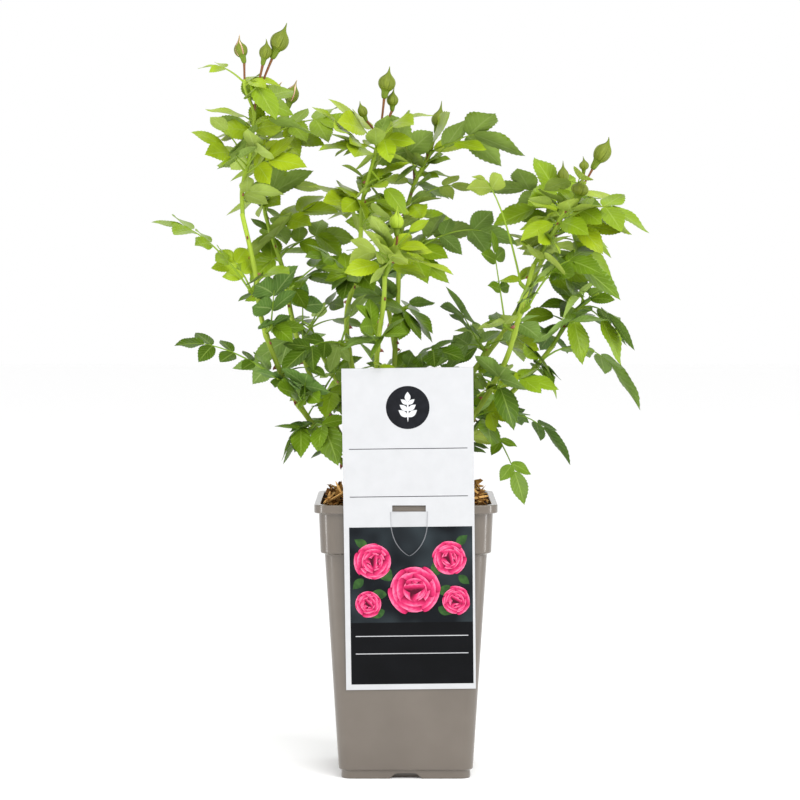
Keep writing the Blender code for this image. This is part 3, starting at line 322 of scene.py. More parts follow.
def pot_inside(height):
    """The inner half width of the wall at a height."""
    if height <= BODY_TOP:
        share = (height - FOOT_HEIGHT - STEP) / (BODY_TOP - FOOT_HEIGHT - STEP)
        return BODY_LOW_HALF + (BODY_TOP_HALF - BODY_LOW_HALF) * share - WALL
    return COLLAR_LOW_HALF + (COLLAR_TOP_HALF - COLLAR_LOW_HALF) * (height - BODY_TOP) / COLLAR_HEIGHT - WALL


def moulded_plastic():
    """Injection-moulded polypropylene: satin, an even taupe with faint clouds, and a fine grain of 0.8 mm,
    drawn coarser than the real one so that it shows."""
    material, tree = new_finish("moulded_polypropylene_taupe", Roughness=0.36, IOR=1.49,
                                          Coat_Weight=0.8, Coat_Roughness=0.16)
    place = add(tree, "TexCoord").outputs["Object"]
    cloud = add(tree, "TexNoise", {"Vector": place, "Scale": 1 / 0.045, "Detail": 3.0})
    tint = add(tree, "ValToRGB", {"Fac": cloud},
               stops=[(0.3, "#544b41"), (0.7, "#5d544a")])
    grain = add(tree, "TexNoise", {"Vector": place, "Scale": 1 / 0.0008, "Detail": 2.0})
    bump = add(tree, "Bump", {"Height": grain, "Strength": 0.12, "Distance": 0.0001})
    return dressed(material, tint, bump)


def make_pot():
    """One skin: half width h(j) and height z(j) of the profile, times the rounded square. Where |x| or |y| is
    within the notch of a side's middle, the foot's lowest points are raised to the notch's arch."""
    outer = [(FOOT_HALF - NOTCH_DEPTH, 0.0), (FOOT_HALF, 0.0), (FOOT_HALF, FOOT_HEIGHT),
             (BODY_LOW_HALF, FOOT_HEIGHT + STEP), (BODY_TOP_HALF, BODY_TOP), (COLLAR_LOW_HALF, BODY_TOP + STEP),
             (COLLAR_TOP_HALF, LIP_LOW), (RIM_HALF, LIP_LOW), (RIM_HALF, POT_HEIGHT),
             (pot_inside(POT_HEIGHT), POT_HEIGHT), (pot_inside(BODY_TOP + STEP), BODY_TOP + STEP),
             (pot_inside(BODY_TOP), BODY_TOP), (pot_inside(FLOOR_TOP), FLOOR_TOP), (20.0, FLOOR_TOP)]
    profile = held_profile(rounded_profile(outer, EDGE_ROUND), EDGE_HOLD)
    profile = np.concatenate([[(FOOT_HALF - NOTCH_DEPTH - 0.2, 0.0)], profile])
    square = rounded_square(12, 41)
    height = np.repeat(profile[:, None, 1:], len(square), axis=1)
    rings = np.concatenate([profile[:, None, :1] * square, height], axis=-1)
    from_middle = np.abs(rings[..., :2]).min(axis=-1)
    arch = NOTCH_HEIGHT * np.clip(1 - (from_middle / NOTCH_HALF) ** 6, 0, 1)
    in_foot = (np.arange(len(profile)) > 0) & (profile[:, 1] < NOTCH_HEIGHT)
    rings[..., 2] = np.where(in_foot[:, None], np.maximum(rings[..., 2], arch), rings[..., 2])
    poles = np.array(((0, 0, 0), (0, 0, FLOOR_TOP)), float)
    pot = skin("moulded_pot", rings[None], poles[None], [moulded_plastic()], smooth=40)
    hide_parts("pot")
    return pot


pot = make_pot()

# %% [markdown]
# ## Bark mulch
# The top of the pot is covered with chipped pine bark: slivers 8 to 30 mm long, golden where they are freshly
# split and dark brown outside, lying criss-cross and heaped against the rim. A bumpy bed fills the gaps, and
# each chip is a short flat tube with ragged ends and a slight bend. A displacement map could suggest chips,
# but only loose slivers give the dark gaps and the spiky outline above the rim.

# %% Mulch bed and chips
PEAT_TOP = 222.0
BED_FOOT = PEAT_TOP + 0.4
BED_TOP = 229.5
BED_ROUGH = 1.1
BED_BANK = 6.0
BED_GAP = 0.8
BED_RINGS = 26
CHIP_COUNT = 620
CHIP_LENGTH = (8.0, 30.0)
CHIP_WIDTH = (2.4, 6.0)
CHIP_THICK = (0.9, 2.2)
CHIP_STATIONS = 6
CHIP_SIDES = 6
# Tilt and roll are spreads in radians, bow and ragged ends are shares of the length.
CHIP_ROLL = 0.5
CHIP_BOW = 0.06
CHIP_RAGGED = 0.12
CHIP_WOBBLE = (0.8, 1.15)
FLAT_TILT = 0.16
FLAT_RISE = 2.5
# Chips further out than this to the left and right are heaped.
HEAP_X = 46.0
HEAP_TILT = 0.42
HEAP_RISE = 13.0
STEM_CLEAR = 14.0
STRAP_CLEAR = 26.0
CARD_CENTRE_X = 2.6
# Golden where freshly split, darker outside: name, dark and light colour, then each one's share of the chips.
BARK_INKS = (("golden", "#94652d", "#e0b672"), ("tan", "#7c4d22", "#c1904d"), ("brown", "#452a12", "#83552a"),
             ("dark", "#24160b", "#513419"))
BARK_SHARES = (0.4, 0.33, 0.19, 0.08)


def streaked(name, dark, light, ramp, scale, detail, strength, depth, **constants):
    """A surface with streaks along its own map, which set both the colour and the relief."""
    material, tree = new_finish(name, **constants)
    place = add(tree, "TexCoord").outputs["UV"]
    stretched = add(tree, "Mapping", {"Vector": place, "Scale": scale})
    streaks = add(tree, "TexNoise", {"Vector": stretched, "Scale": 1.0, "Detail": detail})
    tint = add(tree, "ValToRGB", {"Fac": streaks}, stops=[(ramp[0], dark), (ramp[1], light)])
    bump = add(tree, "Bump", {"Height": streaks, "Strength": strength, "Distance": depth})
    return dressed(material, tint, bump)


# Chipped pine bark is dry and matt, with fibres about 0.5 mm apart that run along the chip.
BARK_FINISHES = [streaked("split_bark_" + name, dark, light, (0.3, 0.68), (2.0, 14.0, 1.0), 4.0, 0.6, 0.0005,
                          Roughness=0.85, IOR=1.4, Specular_IOR_Level=0.25)
                 for name, dark, light in BARK_INKS]


def bed_height(x, y):
    """BED_TOP with three crossing waves, and a rise towards the left and right walls."""
    waves = np.sin(x / 4.1 + y / 6.3) + np.sin(x / 2.7 - y / 3.9 + 1.0) + np.sin(y / 2.3 + 2.0)
    return BED_TOP + BED_ROUGH / 2 * waves + BED_BANK * (np.abs(x) / 73) ** 3


def make_bed():
    """A skin of rounded squares that shrink to the middle, at the bed's height."""
    square = rounded_square(5, 21)
    half = pot_inside(PEAT_TOP) - BED_GAP
    shares = np.concatenate([[1.0], np.linspace(1.0, 0.05, BED_RINGS)])
    flat = shares[:, None, None] * square[None] * half
    height = bed_height(flat[..., 0], flat[..., 1])
    height[0] = BED_FOOT
    rings = np.concatenate([flat, height[..., None]], axis=-1)
    poles = np.array(((0, 0, BED_FOOT), (0, 0, BED_TOP)), float)
    return skin("mulch_bed", rings[None], poles[None], [BARK_FINISHES[3]], uv=rings[None, ..., :2] / 12)


def make_chips():
    """Slivers: at station t a chip's half width is w (1 - 0.5 |2t - 1|^3), it bends by b (2t - 1)^2, and its
    end points are pushed along by a random share. Each is then turned, tilted, rolled and set on the bed."""
    rng = np.random.default_rng(11)
    reach = pot_inside(POT_HEIGHT) - 2.0
    spots = rng.uniform(-reach, reach, (CHIP_COUNT * 2, 2))
    radial = np.hypot(*spots.T)
    beside_strap = (np.abs(spots[:, 0] - CARD_CENTRE_X) < STRAP_CLEAR) & (spots[:, 1] < STRAP_CLEAR - reach)
    spots = spots[(radial > STEM_CLEAR + 6) & ~beside_strap][:CHIP_COUNT]
    count = len(spots)
    length = rng.uniform(*CHIP_LENGTH, count) * rng.uniform(0.6, 1.0, count)
    width = rng.uniform(*CHIP_WIDTH, count)
    thick = rng.uniform(*CHIP_THICK, count)
    heap = np.abs(spots[:, 0]) > HEAP_X
    turn = rng.uniform(0, 2 * np.pi, count)
    tilt = rng.normal(0, 1, count) * np.where(heap, HEAP_TILT, FLAT_TILT)
    roll = rng.normal(0, CHIP_ROLL, count)
    rise = np.where(heap, rng.uniform(0, HEAP_RISE, count), rng.uniform(0, FLAT_RISE, count))
    t = np.linspace(0, 1, CHIP_STATIONS)
    bow = rng.normal(0, CHIP_BOW, count)[:, None] * length[:, None] * (2 * t - 1) ** 2
    angle = np.arange(CHIP_SIDES) * 2 * np.pi / CHIP_SIDES
    taper = 1 - 0.5 * np.abs(2 * t - 1) ** 3
    grid = (count, CHIP_STATIONS, CHIP_SIDES)
    ragged = rng.uniform(-CHIP_RAGGED, CHIP_RAGGED, grid) * np.abs(2 * t - 1)[:, None] ** 4
    along = (t[:, None] - 0.5 + ragged) * length[:, None, None]
    wobble = rng.uniform(*CHIP_WOBBLE, grid)
    across = width[:, None, None] / 2 * taper[None, :, None] * np.cos(angle) * wobble
    up = thick[:, None, None] / 2 * taper[None, :, None] * np.sin(angle) * wobble + bow[..., None]
    local = np.stack([along, across, up], axis=-1)
    # Roll about x, tilt about y, then turn about z.
    cr, sr, ct, st, cz, sz = np.cos(roll), np.sin(roll), np.cos(tilt), np.sin(tilt), np.cos(turn), np.sin(turn)
    one, nil = np.ones(count), np.zeros(count)
    about_x = np.stack([one, nil, nil, nil, cr, -sr, nil, sr, cr], -1).reshape(-1, 3, 3)
    about_y = np.stack([ct, nil, st, nil, one, nil, -st, nil, ct], -1).reshape(-1, 3, 3)
    about_z = np.stack([cz, -sz, nil, sz, cz, nil, nil, nil, one], -1).reshape(-1, 3, 3)
    lie = about_z @ about_y @ about_x
    lift = bed_height(*spots.T) + rise + 0.35 * length * np.abs(np.sin(tilt))
    centre = np.concatenate([spots, lift[:, None]], axis=1)
    # Chips that would cross the wall are moved in along x and y.
    extent = np.abs(np.stack([lie[:, 0, 0], lie[:, 1, 0]], -1)) * length[:, None] / 2 + width[:, None] / 2
    centre[:, :2] = np.clip(centre[:, :2], extent - reach, reach - extent)
    rings = np.einsum("nij,nskj->nski", lie, local) + centre[:, None, None]
    poles = rings[:, (0, -1)].mean(axis=2)
    uv = along_and_round(count, CHIP_STATIONS, CHIP_SIDES) + rng.uniform(0, 50, (count, 1, 1, 2))
    slots = rng.choice(len(BARK_INKS), count, p=BARK_SHARES)
    return skin("bark_chips", rings, poles, BARK_FINISHES, slots[:, None], uv, smooth=35)


bed = make_bed()
chips = make_chips()
for piece in (bed, chips):
    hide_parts("bark_mulch")

# %% [markdown]
# ## Root ball
# Under the mulch the pot is full of potting compost. Nothing of it shows, so the CAD solid stays as it is
# and only gets the finish of dark, crumbly peat.

# %% Root ball
def crumbly_peat():
    """Potting compost: matt, almost black, in crumbs of about 3 mm."""
    material, tree = new_finish("crumbly_peat", Roughness=0.95, Specular_IOR_Level=0.2)
    place = add(tree, "TexCoord").outputs["Object"]
    crumbs = add(tree, "TexVoronoi", {"Vector": place, "Scale": 1 / 0.003})
    tint = add(tree, "ValToRGB", {"Fac": crumbs},
               stops=[(0.0, "#3a2a1d"), (0.7, "#150e09")])
    return dressed(material, tint)


NODES["root_ball"].data.materials.clear()
NODES["root_ball"].data.materials.append(crumbly_peat())

# %% [markdown]
# ## The plant card
# The card is coated board, white with a glossy print, hung by a strap over the rim; a tongue is die-cut below
# the slot. The CAD solid has the slot, the tongue and the strap, so it stays, and its print is a material that
# measures where each point lies in the card's own plane. The print is of a general kind: a round badge with a
# leafy sprig, thin rules, a dark picture panel and a black strip, with no words. The pink roses on the panel
# are overlapping petals, each a thin blade, because petals need edges that a pattern would blur.

# %% Card print
CARD_FOOT_Z = 79.5
CARD_TURN = math.radians(0.7)
SEAT_GAP = 0.4
CARD_LEAN = math.atan((RIM_HALF - pot_inside(CARD_FOOT_Z) - WALL) / (LIP_LOW - CARD_FOOT_Z))
CARD_LOW = -(LIP_LOW - CARD_FOOT_Z) / math.cos(CARD_LEAN)
CARD_HANG = np.array((CARD_CENTRE_X, -RIM_HALF - SEAT_GAP, LIP_LOW))
CARD_AXES = np.array(Matrix.Rotation(CARD_LEAN, 3, "X") @ Matrix.Rotation(-CARD_TURN, 3, "Y"))
# Printed areas in the card's plane: centre across, centre up from the card's foot, width, height, and the
# darkest and the lightest colour of its ink.
PRINT = ((0.0, 211.0, 101.0, 0.7, "#2c2e32", "#36383c"), (0.0, 169.5, 101.0, 0.7, "#2c2e32", "#36383c"),
         (1.3, 101.0, 105.5, 84.0, "#0f1216", "#2f373b"), (1.3, 32.0, 105.5, 54.5, "#08090b", "#0c0d10"),
         (1.3, 47.3, 97.0, 0.7, "#b0b1b4", "#b8b9bc"), (1.3, 31.8, 97.0, 0.7, "#b0b1b4", "#b8b9bc"))
# The tongue is cut free from the slot's lower edge down: its half width at the top, its depth, and half the
# width of the line drawn along the cut, which is partly painted shadow.
SLOT_LOW = 234.8
TONGUE_HALF = 15.9
TONGUE_LONG = 38.6
CUT_HALF = 0.42
BADGE_UP = 246.5
BADGE_RADIUS = 18.6


def on_card(across, up, proud):
    """Points in the card's plane, measured from its middle and its foot, and proud of its front face."""
    flat = np.stack(np.broadcast_arrays(across, -1.0 - np.asarray(proud), CARD_LOW + np.asarray(up)), axis=-1)
    return CARD_HANG + flat @ CARD_AXES.T


def coated_board():
    """Coated board: smooth, semi-gloss white. The print is laid over it area by area, each where the point's
    distance across and up the card is within the area's half sizes, and only on the front. The tongue is
    darkened a little as painted shade. The cut round it is a mid-grey line: pale like the board's bare core
    where it crosses the dark print, and painted shadow where it crosses the white. At a share s of the
    tongue's depth its half width is TONGUE_HALF (1 - s^3)^0.8."""
    material, tree = new_finish("coated_board_printed", Roughness=0.38, IOR=1.5, Specular_IOR_Level=0.08)
    place = add(tree, "TexCoord").outputs["Object"]
    hung = add(tree, "VectorMath", {0: place, 1: tuple(CARD_HANG * MM)}, operation="SUBTRACT")
    across, out, up = [add(tree, "VectorMath", {0: hung, 1: tuple(axis)},
                           operation="DOT_PRODUCT").outputs["Value"] for axis in CARD_AXES.T]
    front = add(tree, "Math", {0: out, 1: -0.3 * MM}, operation="LESS_THAN")
    fleck = add(tree, "TexNoise", {"Vector": place, "Scale": 1 / 0.012, "Detail": 5.0})
    colour = add(tree, "ValToRGB", {"Fac": fleck},
                 stops=[(0.3, "#b5b6b8"), (0.7, "#b9babc")])
    glow = add(tree, "TexNoise", {"Vector": place, "Scale": 1 / 0.03, "Detail": 1.0})
    glow = add(tree, "MapRange", {"Value": glow, "From Min": 0.4, "From Max": 0.75})
    areas = []
    for centre, height, wide, high, dark, light in PRINT:
        beside = add(tree, "Math", {0: across, 1: centre * MM, 2: wide / 2 * MM}, operation="COMPARE")
        ink = add(tree, "Mix", {0: glow, 6: linear(dark), 7: linear(light)},
                  data_type="RGBA")
        areas.append((beside, CARD_LOW + height, high, 1.0, ink.outputs[2]))

    tongue_top = (SLOT_LOW - LIP_LOW) / math.cos(CARD_LEAN)
    depth = add(tree, "MapRange", {"Value": up, "From Min": tongue_top * MM,
                                             "From Max": (tongue_top - TONGUE_LONG) * MM})
    cubed = add(tree, "Math", {0: depth, 1: 3.0}, operation="POWER")
    left = add(tree, "Math", {0: 1.0, 1: cubed}, operation="SUBTRACT")
    rounded = add(tree, "Math", {0: left, 1: 0.8}, operation="POWER")
    half = add(tree, "Math", {0: rounded, 1: TONGUE_HALF * MM}, operation="MULTIPLY")
    aside = add(tree, "Math", {0: across}, operation="ABSOLUTE")
    past = add(tree, "Math", {0: aside, 1: half}, operation="SUBTRACT")
    inside = add(tree, "Math", {0: past, 1: 0.0}, operation="LESS_THAN")
    cut = add(tree, "Math", {0: past, 1: 0.0, 2: CUT_HALF * MM}, operation="COMPARE")
    # Painted shade: the whole tongue is darkened a little. The line along the cut is mid-grey: painted shadow
    # on the white board, and pale like the bare core on the dark print.
    for shape, share, code in ((inside, 0.07, "#2a2b2f"), (cut, 0.55, "#8a8b8f")):
        areas.append((shape, tongue_top - TONGUE_LONG / 2, TONGUE_LONG, share, linear(code)))

    for shape, middle, high, share, ink in areas:
        level = add(tree, "Math", {0: up, 1: middle * MM, 2: high / 2 * MM}, operation="COMPARE")
        within = shape
        for other in (level, front, share):
            within = add(tree, "Math", {0: within, 1: other}, operation="MULTIPLY")
        colour = add(tree, "Mix", {0: within, 6: colour, 7: ink}, data_type="RGBA").outputs[2]
    bump = add(tree, "Bump", {"Height": fleck, "Strength": 0.05, "Distance": 0.0001})
    return dressed(material, colour, bump)


NODES["plant_card"].data.materials.clear()
NODES["plant_card"].data.materials.append(coated_board())
print("card leans by", round(math.degrees(CARD_LEAN), 2), "degrees")

# %% [markdown]
# ## Blades: leaflets, petals and bracts
# A rose leaflet is an oval with a rounded base, a drawn-out tip and a sawn edge. It folds a little along its
# midrib, bends down, and no two twist alike. One function of two parameters gives them all: how far along the
# midrib, and how far out to the edge. Its ring runs over the upper side and back under the lower side, so
# that a leaf has a thickness and its paler underside is a finish of its own.

# %% Blades
BLADE_ROWS = 21
BLADE_EDGE = np.array((-0.5, 0.0, 0.5, 1.0, 0.5, 0.0, -0.5, -1.0))
BLADE_LAYER = np.array((1, 1, 1, 0, -1, -1, -1, 0))
UPPER_SIDES = np.array((1, 1, 1, 0, 0, 0, 0, 1), bool)


def blades(base, along, across, length, half, fold, bend, twist, wave, thick=0.34, teeth=0.075,
           outline=(0.88, 0.55, 0.6)):
    """Rings and poles of blades. At a share u of the length L and s of the half width,
    w = half sin(pi u^p)^(q + r u), rise = fold |s|^1.3 w + wave half s^2 sin(3 pi u + 2 wave) + thickness
    and the point is base + along u L + a s w + n rise - up bend L u^2, where a and n are across and the upper
    side's normal, turned about the midrib by twist u. The outline is (p, q, r)."""
    p, q, r = outline
    u = np.linspace(0, 1, BLADE_ROWS + 2)[1:-1]
    s = BLADE_EDGE
    at_edge = np.abs(s) == 1
    tooth = teeth * np.where(np.arange(BLADE_ROWS) % 2, 1.0, -0.3)
    normal = np.cross(across, along)
    turn = (twist[:, None] * u)[..., None]
    a = across[:, None] * np.cos(turn) + normal[:, None] * np.sin(turn)
    n = normal[:, None] * np.cos(turn) - across[:, None] * np.sin(turn)
    w = half[:, None] * np.sin(np.pi * u ** p) ** (q + r * u)
    side = w[..., None] * s * (1 + tooth[:, None] * at_edge)
    ripple = np.sin(3 * np.pi * u + 2 * wave[:, None])[..., None] * (wave * half)[:, None, None]
    rise = fold[:, None, None] * np.abs(s) ** 1.3 * w[..., None] + ripple * s ** 2 + BLADE_LAYER * thick / 2
    forward = u[None, :, None] + 0.4 * tooth[None, :, None] * at_edge / 3
    run = forward * length[:, None, None]
    droop = (bend * length)[:, None, None] * forward ** 2
    rings = (base[:, None, None] + along[:, None, None] * run[..., None] + a[:, :, None] * side[..., None]
             + n[:, :, None] * rise[..., None] - UP * droop[..., None])
    tip = base + along * length[:, None] - UP * (bend * length)[:, None]
    return rings, np.stack([base, tip], axis=1)


def blade_places(count):
    """A blade's own map: 0 to 1 along its midrib, and 0 to 1 across it with the midrib at a half."""
    u = np.linspace(0, 1, BLADE_ROWS + 2)[1:-1]
    places = np.stack(np.broadcast_arrays(u[:, None], (BLADE_EDGE[None] + 1) / 2), axis=-1)
    return np.broadcast_to(places, (count, *places.shape))


# %% [markdown]
# ## The printed roses and the sprig
# Each printed rose is rings of petals from the outside in, every ring a little higher than the one outside it
# by a few hundredths of a millimetre, like layers of ink. A petal's colour runs from deep pink at its foot to
# pale pink at its edge along its own map.

# %% Printed roses and sprig
INK_LAYER = 0.01
# Each rose's middle across and up, and its radius. Each leaf's foot across and up, length and direction.
ROSES = ((-31.0, 113.0, 16.5), (34.0, 115.0, 15.0), (-36.0, 76.0, 11.5), (39.0, 78.0, 12.5), (4.0, 88.0, 22.0))
ROSE_LEAVES = ((-16.0, 96.0, 20.0, 128.0), (20.0, 100.0, 18.0, 62.0), (-20.0, 84.0, 15.0, 178.0),
               (24.0, 86.0, 16.0, 8.0), (-22.0, 70.0, 14.0, 205.0), (24.0, 72.0, 14.0, -25.0),
               (-40.0, 98.0, 13.0, 225.0), (42.0, 100.0, 12.0, -40.0), (-36.0, 126.0, 13.0, 150.0),
               (40.0, 127.0, 13.0, 40.0))
# From the outside in: how many petals, and where they start and end, as shares of the rose's radius.
PETAL_RINGS = ((6, 0.44, 1.0), (6, 0.30, 0.84), (5, 0.18, 0.67), (5, 0.08, 0.51), (4, 0.0, 0.37),
               (3, -0.02, 0.24))
PETAL_ROOT = 0.16


def petal_print():
    """Printed petals: ink that runs from deep crimson at the foot to warm pink at the edge."""
    material, tree = new_finish("petal_print_pink", Roughness=0.4, IOR=1.5, Specular_IOR_Level=0.1)
    place = add(tree, "TexCoord").outputs["UV"]
    along = add(tree, "SeparateXYZ", {0: place}).outputs["X"]
    soft = add(tree, "TexNoise", {"Vector": place, "Scale": 5.0, "Detail": 2.0})
    mixed = add(tree, "Math", {0: soft, 1: 0.3, 2: along}, operation="MULTIPLY_ADD")
    mixed = add(tree, "Math", {0: mixed, 1: 0.8}, operation="MULTIPLY")
    tint = add(tree, "ValToRGB", {"Fac": mixed},
               stops=[(0.42, "#4a0820"), (0.6, "#961440"), (0.76, "#c42c60"), (0.93, "#e6799c")])
    return dressed(material, tint)


def ink(name, dark, light):
    """A printed colour with the faint mottle of offset ink, 6 mm across."""
    material, tree = new_finish(name, Roughness=0.4, IOR=1.5, Specular_IOR_Level=0.12)
    place = add(tree, "TexCoord").outputs["Object"]
    mottle = add(tree, "TexNoise", {"Vector": place, "Scale": 1 / 0.006, "Detail": 3.0})
    tint = add(tree, "ValToRGB", {"Fac": mottle}, stops=[(0.35, dark), (0.65, light)])
    return dressed(material, tint)


def flat_blades(name, spots, directions, lengths, halves, layers, finish, outline):
    """Blades that lie flat on the card, each layer a little prouder than the one before."""
    spots, directions = np.array(spots, float), np.radians(directions)
    base = on_card(spots[:, 0], spots[:, 1], INK_LAYER * (1.5 + np.array(layers, float)))
    run = np.stack([np.cos(directions), np.zeros(len(spots)), np.sin(directions)], -1) @ CARD_AXES.T
    out = -CARD_AXES[:, 1]
    across = np.cross(run, out)
    flat = np.zeros(len(spots))
    rings, poles = blades(base, run, across, np.array(lengths, float), np.array(halves, float), flat, flat,
                          flat, flat, thick=INK_LAYER, teeth=0.0, outline=outline)
    piece = skin(name, rings, poles, [finish], uv=blade_places(len(spots)))
    return piece


def make_printed_roses():
    """Rings of petals round each rose's middle, every other ring turned by half a petal."""
    spots, directions, lengths, halves, layers = [], [], [], [], []
    dice = random.Random(4)
    for number, (x, up, radius) in enumerate(ROSES):
        for ring, (petals, inner, outer) in enumerate(PETAL_RINGS):
            for petal in range(petals):
                turn = 360 * (petal + 0.5 * (ring % 2)) / petals + 23 * number + 11 * ring + dice.uniform(-9, 9)
                foot = radius * (inner - PETAL_ROOT)
                full = dice.uniform(0.86, 1.08)
                heading = math.radians(turn)
                spots.append((x + foot * math.cos(heading), up + foot * math.sin(heading)))
                directions.append(turn)
                lengths.append(radius * (outer - inner + PETAL_ROOT) * full)
                halves.append(radius * outer * math.tan(math.pi / petals) * full)
                layers.append(24 * number + 4 * ring + petal % 3)
    return flat_blades("printed_roses", spots, directions, lengths, halves, layers, petal_print(),
                       (1.7, 0.5, 0.1))


def make_printed_leaves():
    spots = [leaf[:2] for leaf in ROSE_LEAVES]
    return flat_blades("printed_leaves", spots, [leaf[3] for leaf in ROSE_LEAVES],
                       [leaf[2] for leaf in ROSE_LEAVES], [leaf[2] * 0.3 for leaf in ROSE_LEAVES],
                       [0] * len(spots), ink("leaf_ink", "#1f3a1c", "#345626"), (0.85, 0.8, 0.4))


def make_badge():
    """A dark round disc and a pale sprig on it: a stalk with three pairs of leaves and one at its end."""
    turn = np.linspace(0, 2 * np.pi, 48, endpoint=False)
    disc = [on_card(share * np.cos(turn), BADGE_UP + share * np.sin(turn), proud)
            for share, proud in ((BADGE_RADIUS, 0.0), (BADGE_RADIUS, INK_LAYER))]
    poles = [on_card(0.0, BADGE_UP, proud) for proud in (0.0, INK_LAYER)]
    badge = skin("printed_badge", np.array(disc)[None], np.array(poles)[None],
                 [ink("badge_ink", "#101115", "#17181d")], smooth=30)
    spots, directions, lengths, halves = [(0.0, BADGE_UP - 12.5)], [90.0], [24.0], [0.8]
    for pair in range(3):
        for hand in (-1, 1):
            spots.append((hand * 0.4, BADGE_UP - 8.0 + 5.4 * pair))
            directions.append(90 - hand * 52)
            lengths.append(9.6 - 1.3 * pair)
            halves.append(2.4 - 0.3 * pair)
    spots.append((0.0, BADGE_UP + 5.0))
    directions.append(90.0)
    lengths.append(8.6)
    halves.append(2.5)
    flat_blades("printed_sprig", spots, directions, lengths, halves, [2] * len(spots),
                ink("pale_ink", "#c4c5c7", "#cccdcf"), (0.85, 0.8, 0.3))


make_printed_leaves()
make_printed_roses()
make_badge()

# %% [markdown]
# ## Where the plant grows
# The CAD source grows the bush by a rule. Canes leave a knob on the stem and pass through a few places each.
# A shoot goes on from a cane's tip or stands on its side, and its leaves are named by where they leave the
# shoot and how far they span right, back and up. The rule is written again here, with the same numbers and
# the same order of random draws, so every leaf grows where its solid is and the outline stays true.

# %% The growth rule
GAP = 0.3
KNOB_CENTRE = np.array((0.0, 0.0, 247.0))
KNOB_RADIUS = 13.0
CANE_FOOT_RADIUS = 2.6
CANE_TIP_RADIUS = 2.0
SHOOT_TIP_RADIUS = 1.4
SIDE_SHOOT_RADIUS = 1.5
GOLDEN_ANGLE = math.radians(137.5)
LEAFLET_BASE = (17.0, 16.0, 14.0, 11.0)
LEAFLET_SHARE = 0.27
LEAFLET_MOST = 0.85
LEAFLET_HALF = 0.35
LEAFLET_THICK = 1.2
LEAFLET_WIDEST = 0.45
LEAFLET_FOLD = 0.22
LEAFLET_BEND = 0.07
LEAFLET_ROOT = 0.1
PAIR_AT = ((), (0.82,), (0.50, 0.90), (0.36, 0.62, 0.90))
PAIR_SIZE = ((), (0.92,), (0.78, 0.92), (0.68, 0.82, 0.92))
PAIR_STAGGER = 0.8
PAIR_AIM = (0.52, 0.85, 0.10)
LEAF_TURN = (12.0, 50.0)
LEAF_TURN_UP = 0.68
SWINGS = (0, 12, -12, 24, -24)
YAWS = (0, 16, -16, 32, -32)
TOUCH_MARGIN = 0.35
FREE_ROOT = 2.2
ROOT_STEP = 1.1

# A leaf grows from its shoot at a height, and spans right, back and up from there to its tip.
# Its stalk arches by a share of its length, and size makes its leaflets larger or smaller.
Leaf = namedtuple("Leaf", "at right back up pairs arch size", defaults=(2, 0.15, 1.0))
# A bud's stalk grows from its shoot at a height to the neck, and the bud runs from there to the tip.
Bud = namedtuple("Bud", "at neck tip width")
# Fill leaves alternate between back and front, each a step lower than the one before.
Fill = namedtuple("Fill", "top count reach")
# A shoot starts at its cane's tip, or stands on the cane's side at a height, and runs through its route.
Shoot = namedtuple("Shoot", "name cane start route leaves buds fill", defaults=((), None))

FILL_STEP = 14.0
TIP = None

# Canes: the places that each one passes through on its way up from the knob.
CANES = {
    "left": ((-57, -15, 274), (-87, -22, 314), (-107, -28, 347), (-125, -33, 397), (-130, -33, 435),
             (-142, -32, 490)),
    "left_back": ((-46, 33, 276), (-70, 34, 315), (-88, 38, 353), (-101, 41, 395), (-110, 44, 443)),
    "centre_left": ((-26, 2, 298), (-46, 0, 350), (-52, -6, 401), (-42, -12, 440), (-39, -15, 478)),
    "centre": ((-8, 17, 310), (-10, 20, 357), (-7, 24, 414), (-6, 30, 466)),
    "front": ((-18, -39, 290), (-25, -68, 359), (-19, -75, 415), (-18, -78, 436)),
    "right_front": ((34, -27, 278), (62, -39, 319), (86, -52, 363), (100, -57, 411), (110, -56, 446)),
    "right_back": ((26, 17, 300), (52, 27, 340), (82, 34, 378), (104, 37, 412), (122, 37, 450)),
    "right_low": ((42, 15, 276), (66, 7, 306), (104, 6, 343), (130, 6, 374)),
    "back": ((2, 49, 290), (-6, 81, 345), (-18, 102, 420)),
    "back_right": ((24, 56, 278), (50, 85, 325), (70, 105, 360)),
    "back_left": ((-26, 56, 280), (-60, 85, 335), (-82, 102, 372)),
}

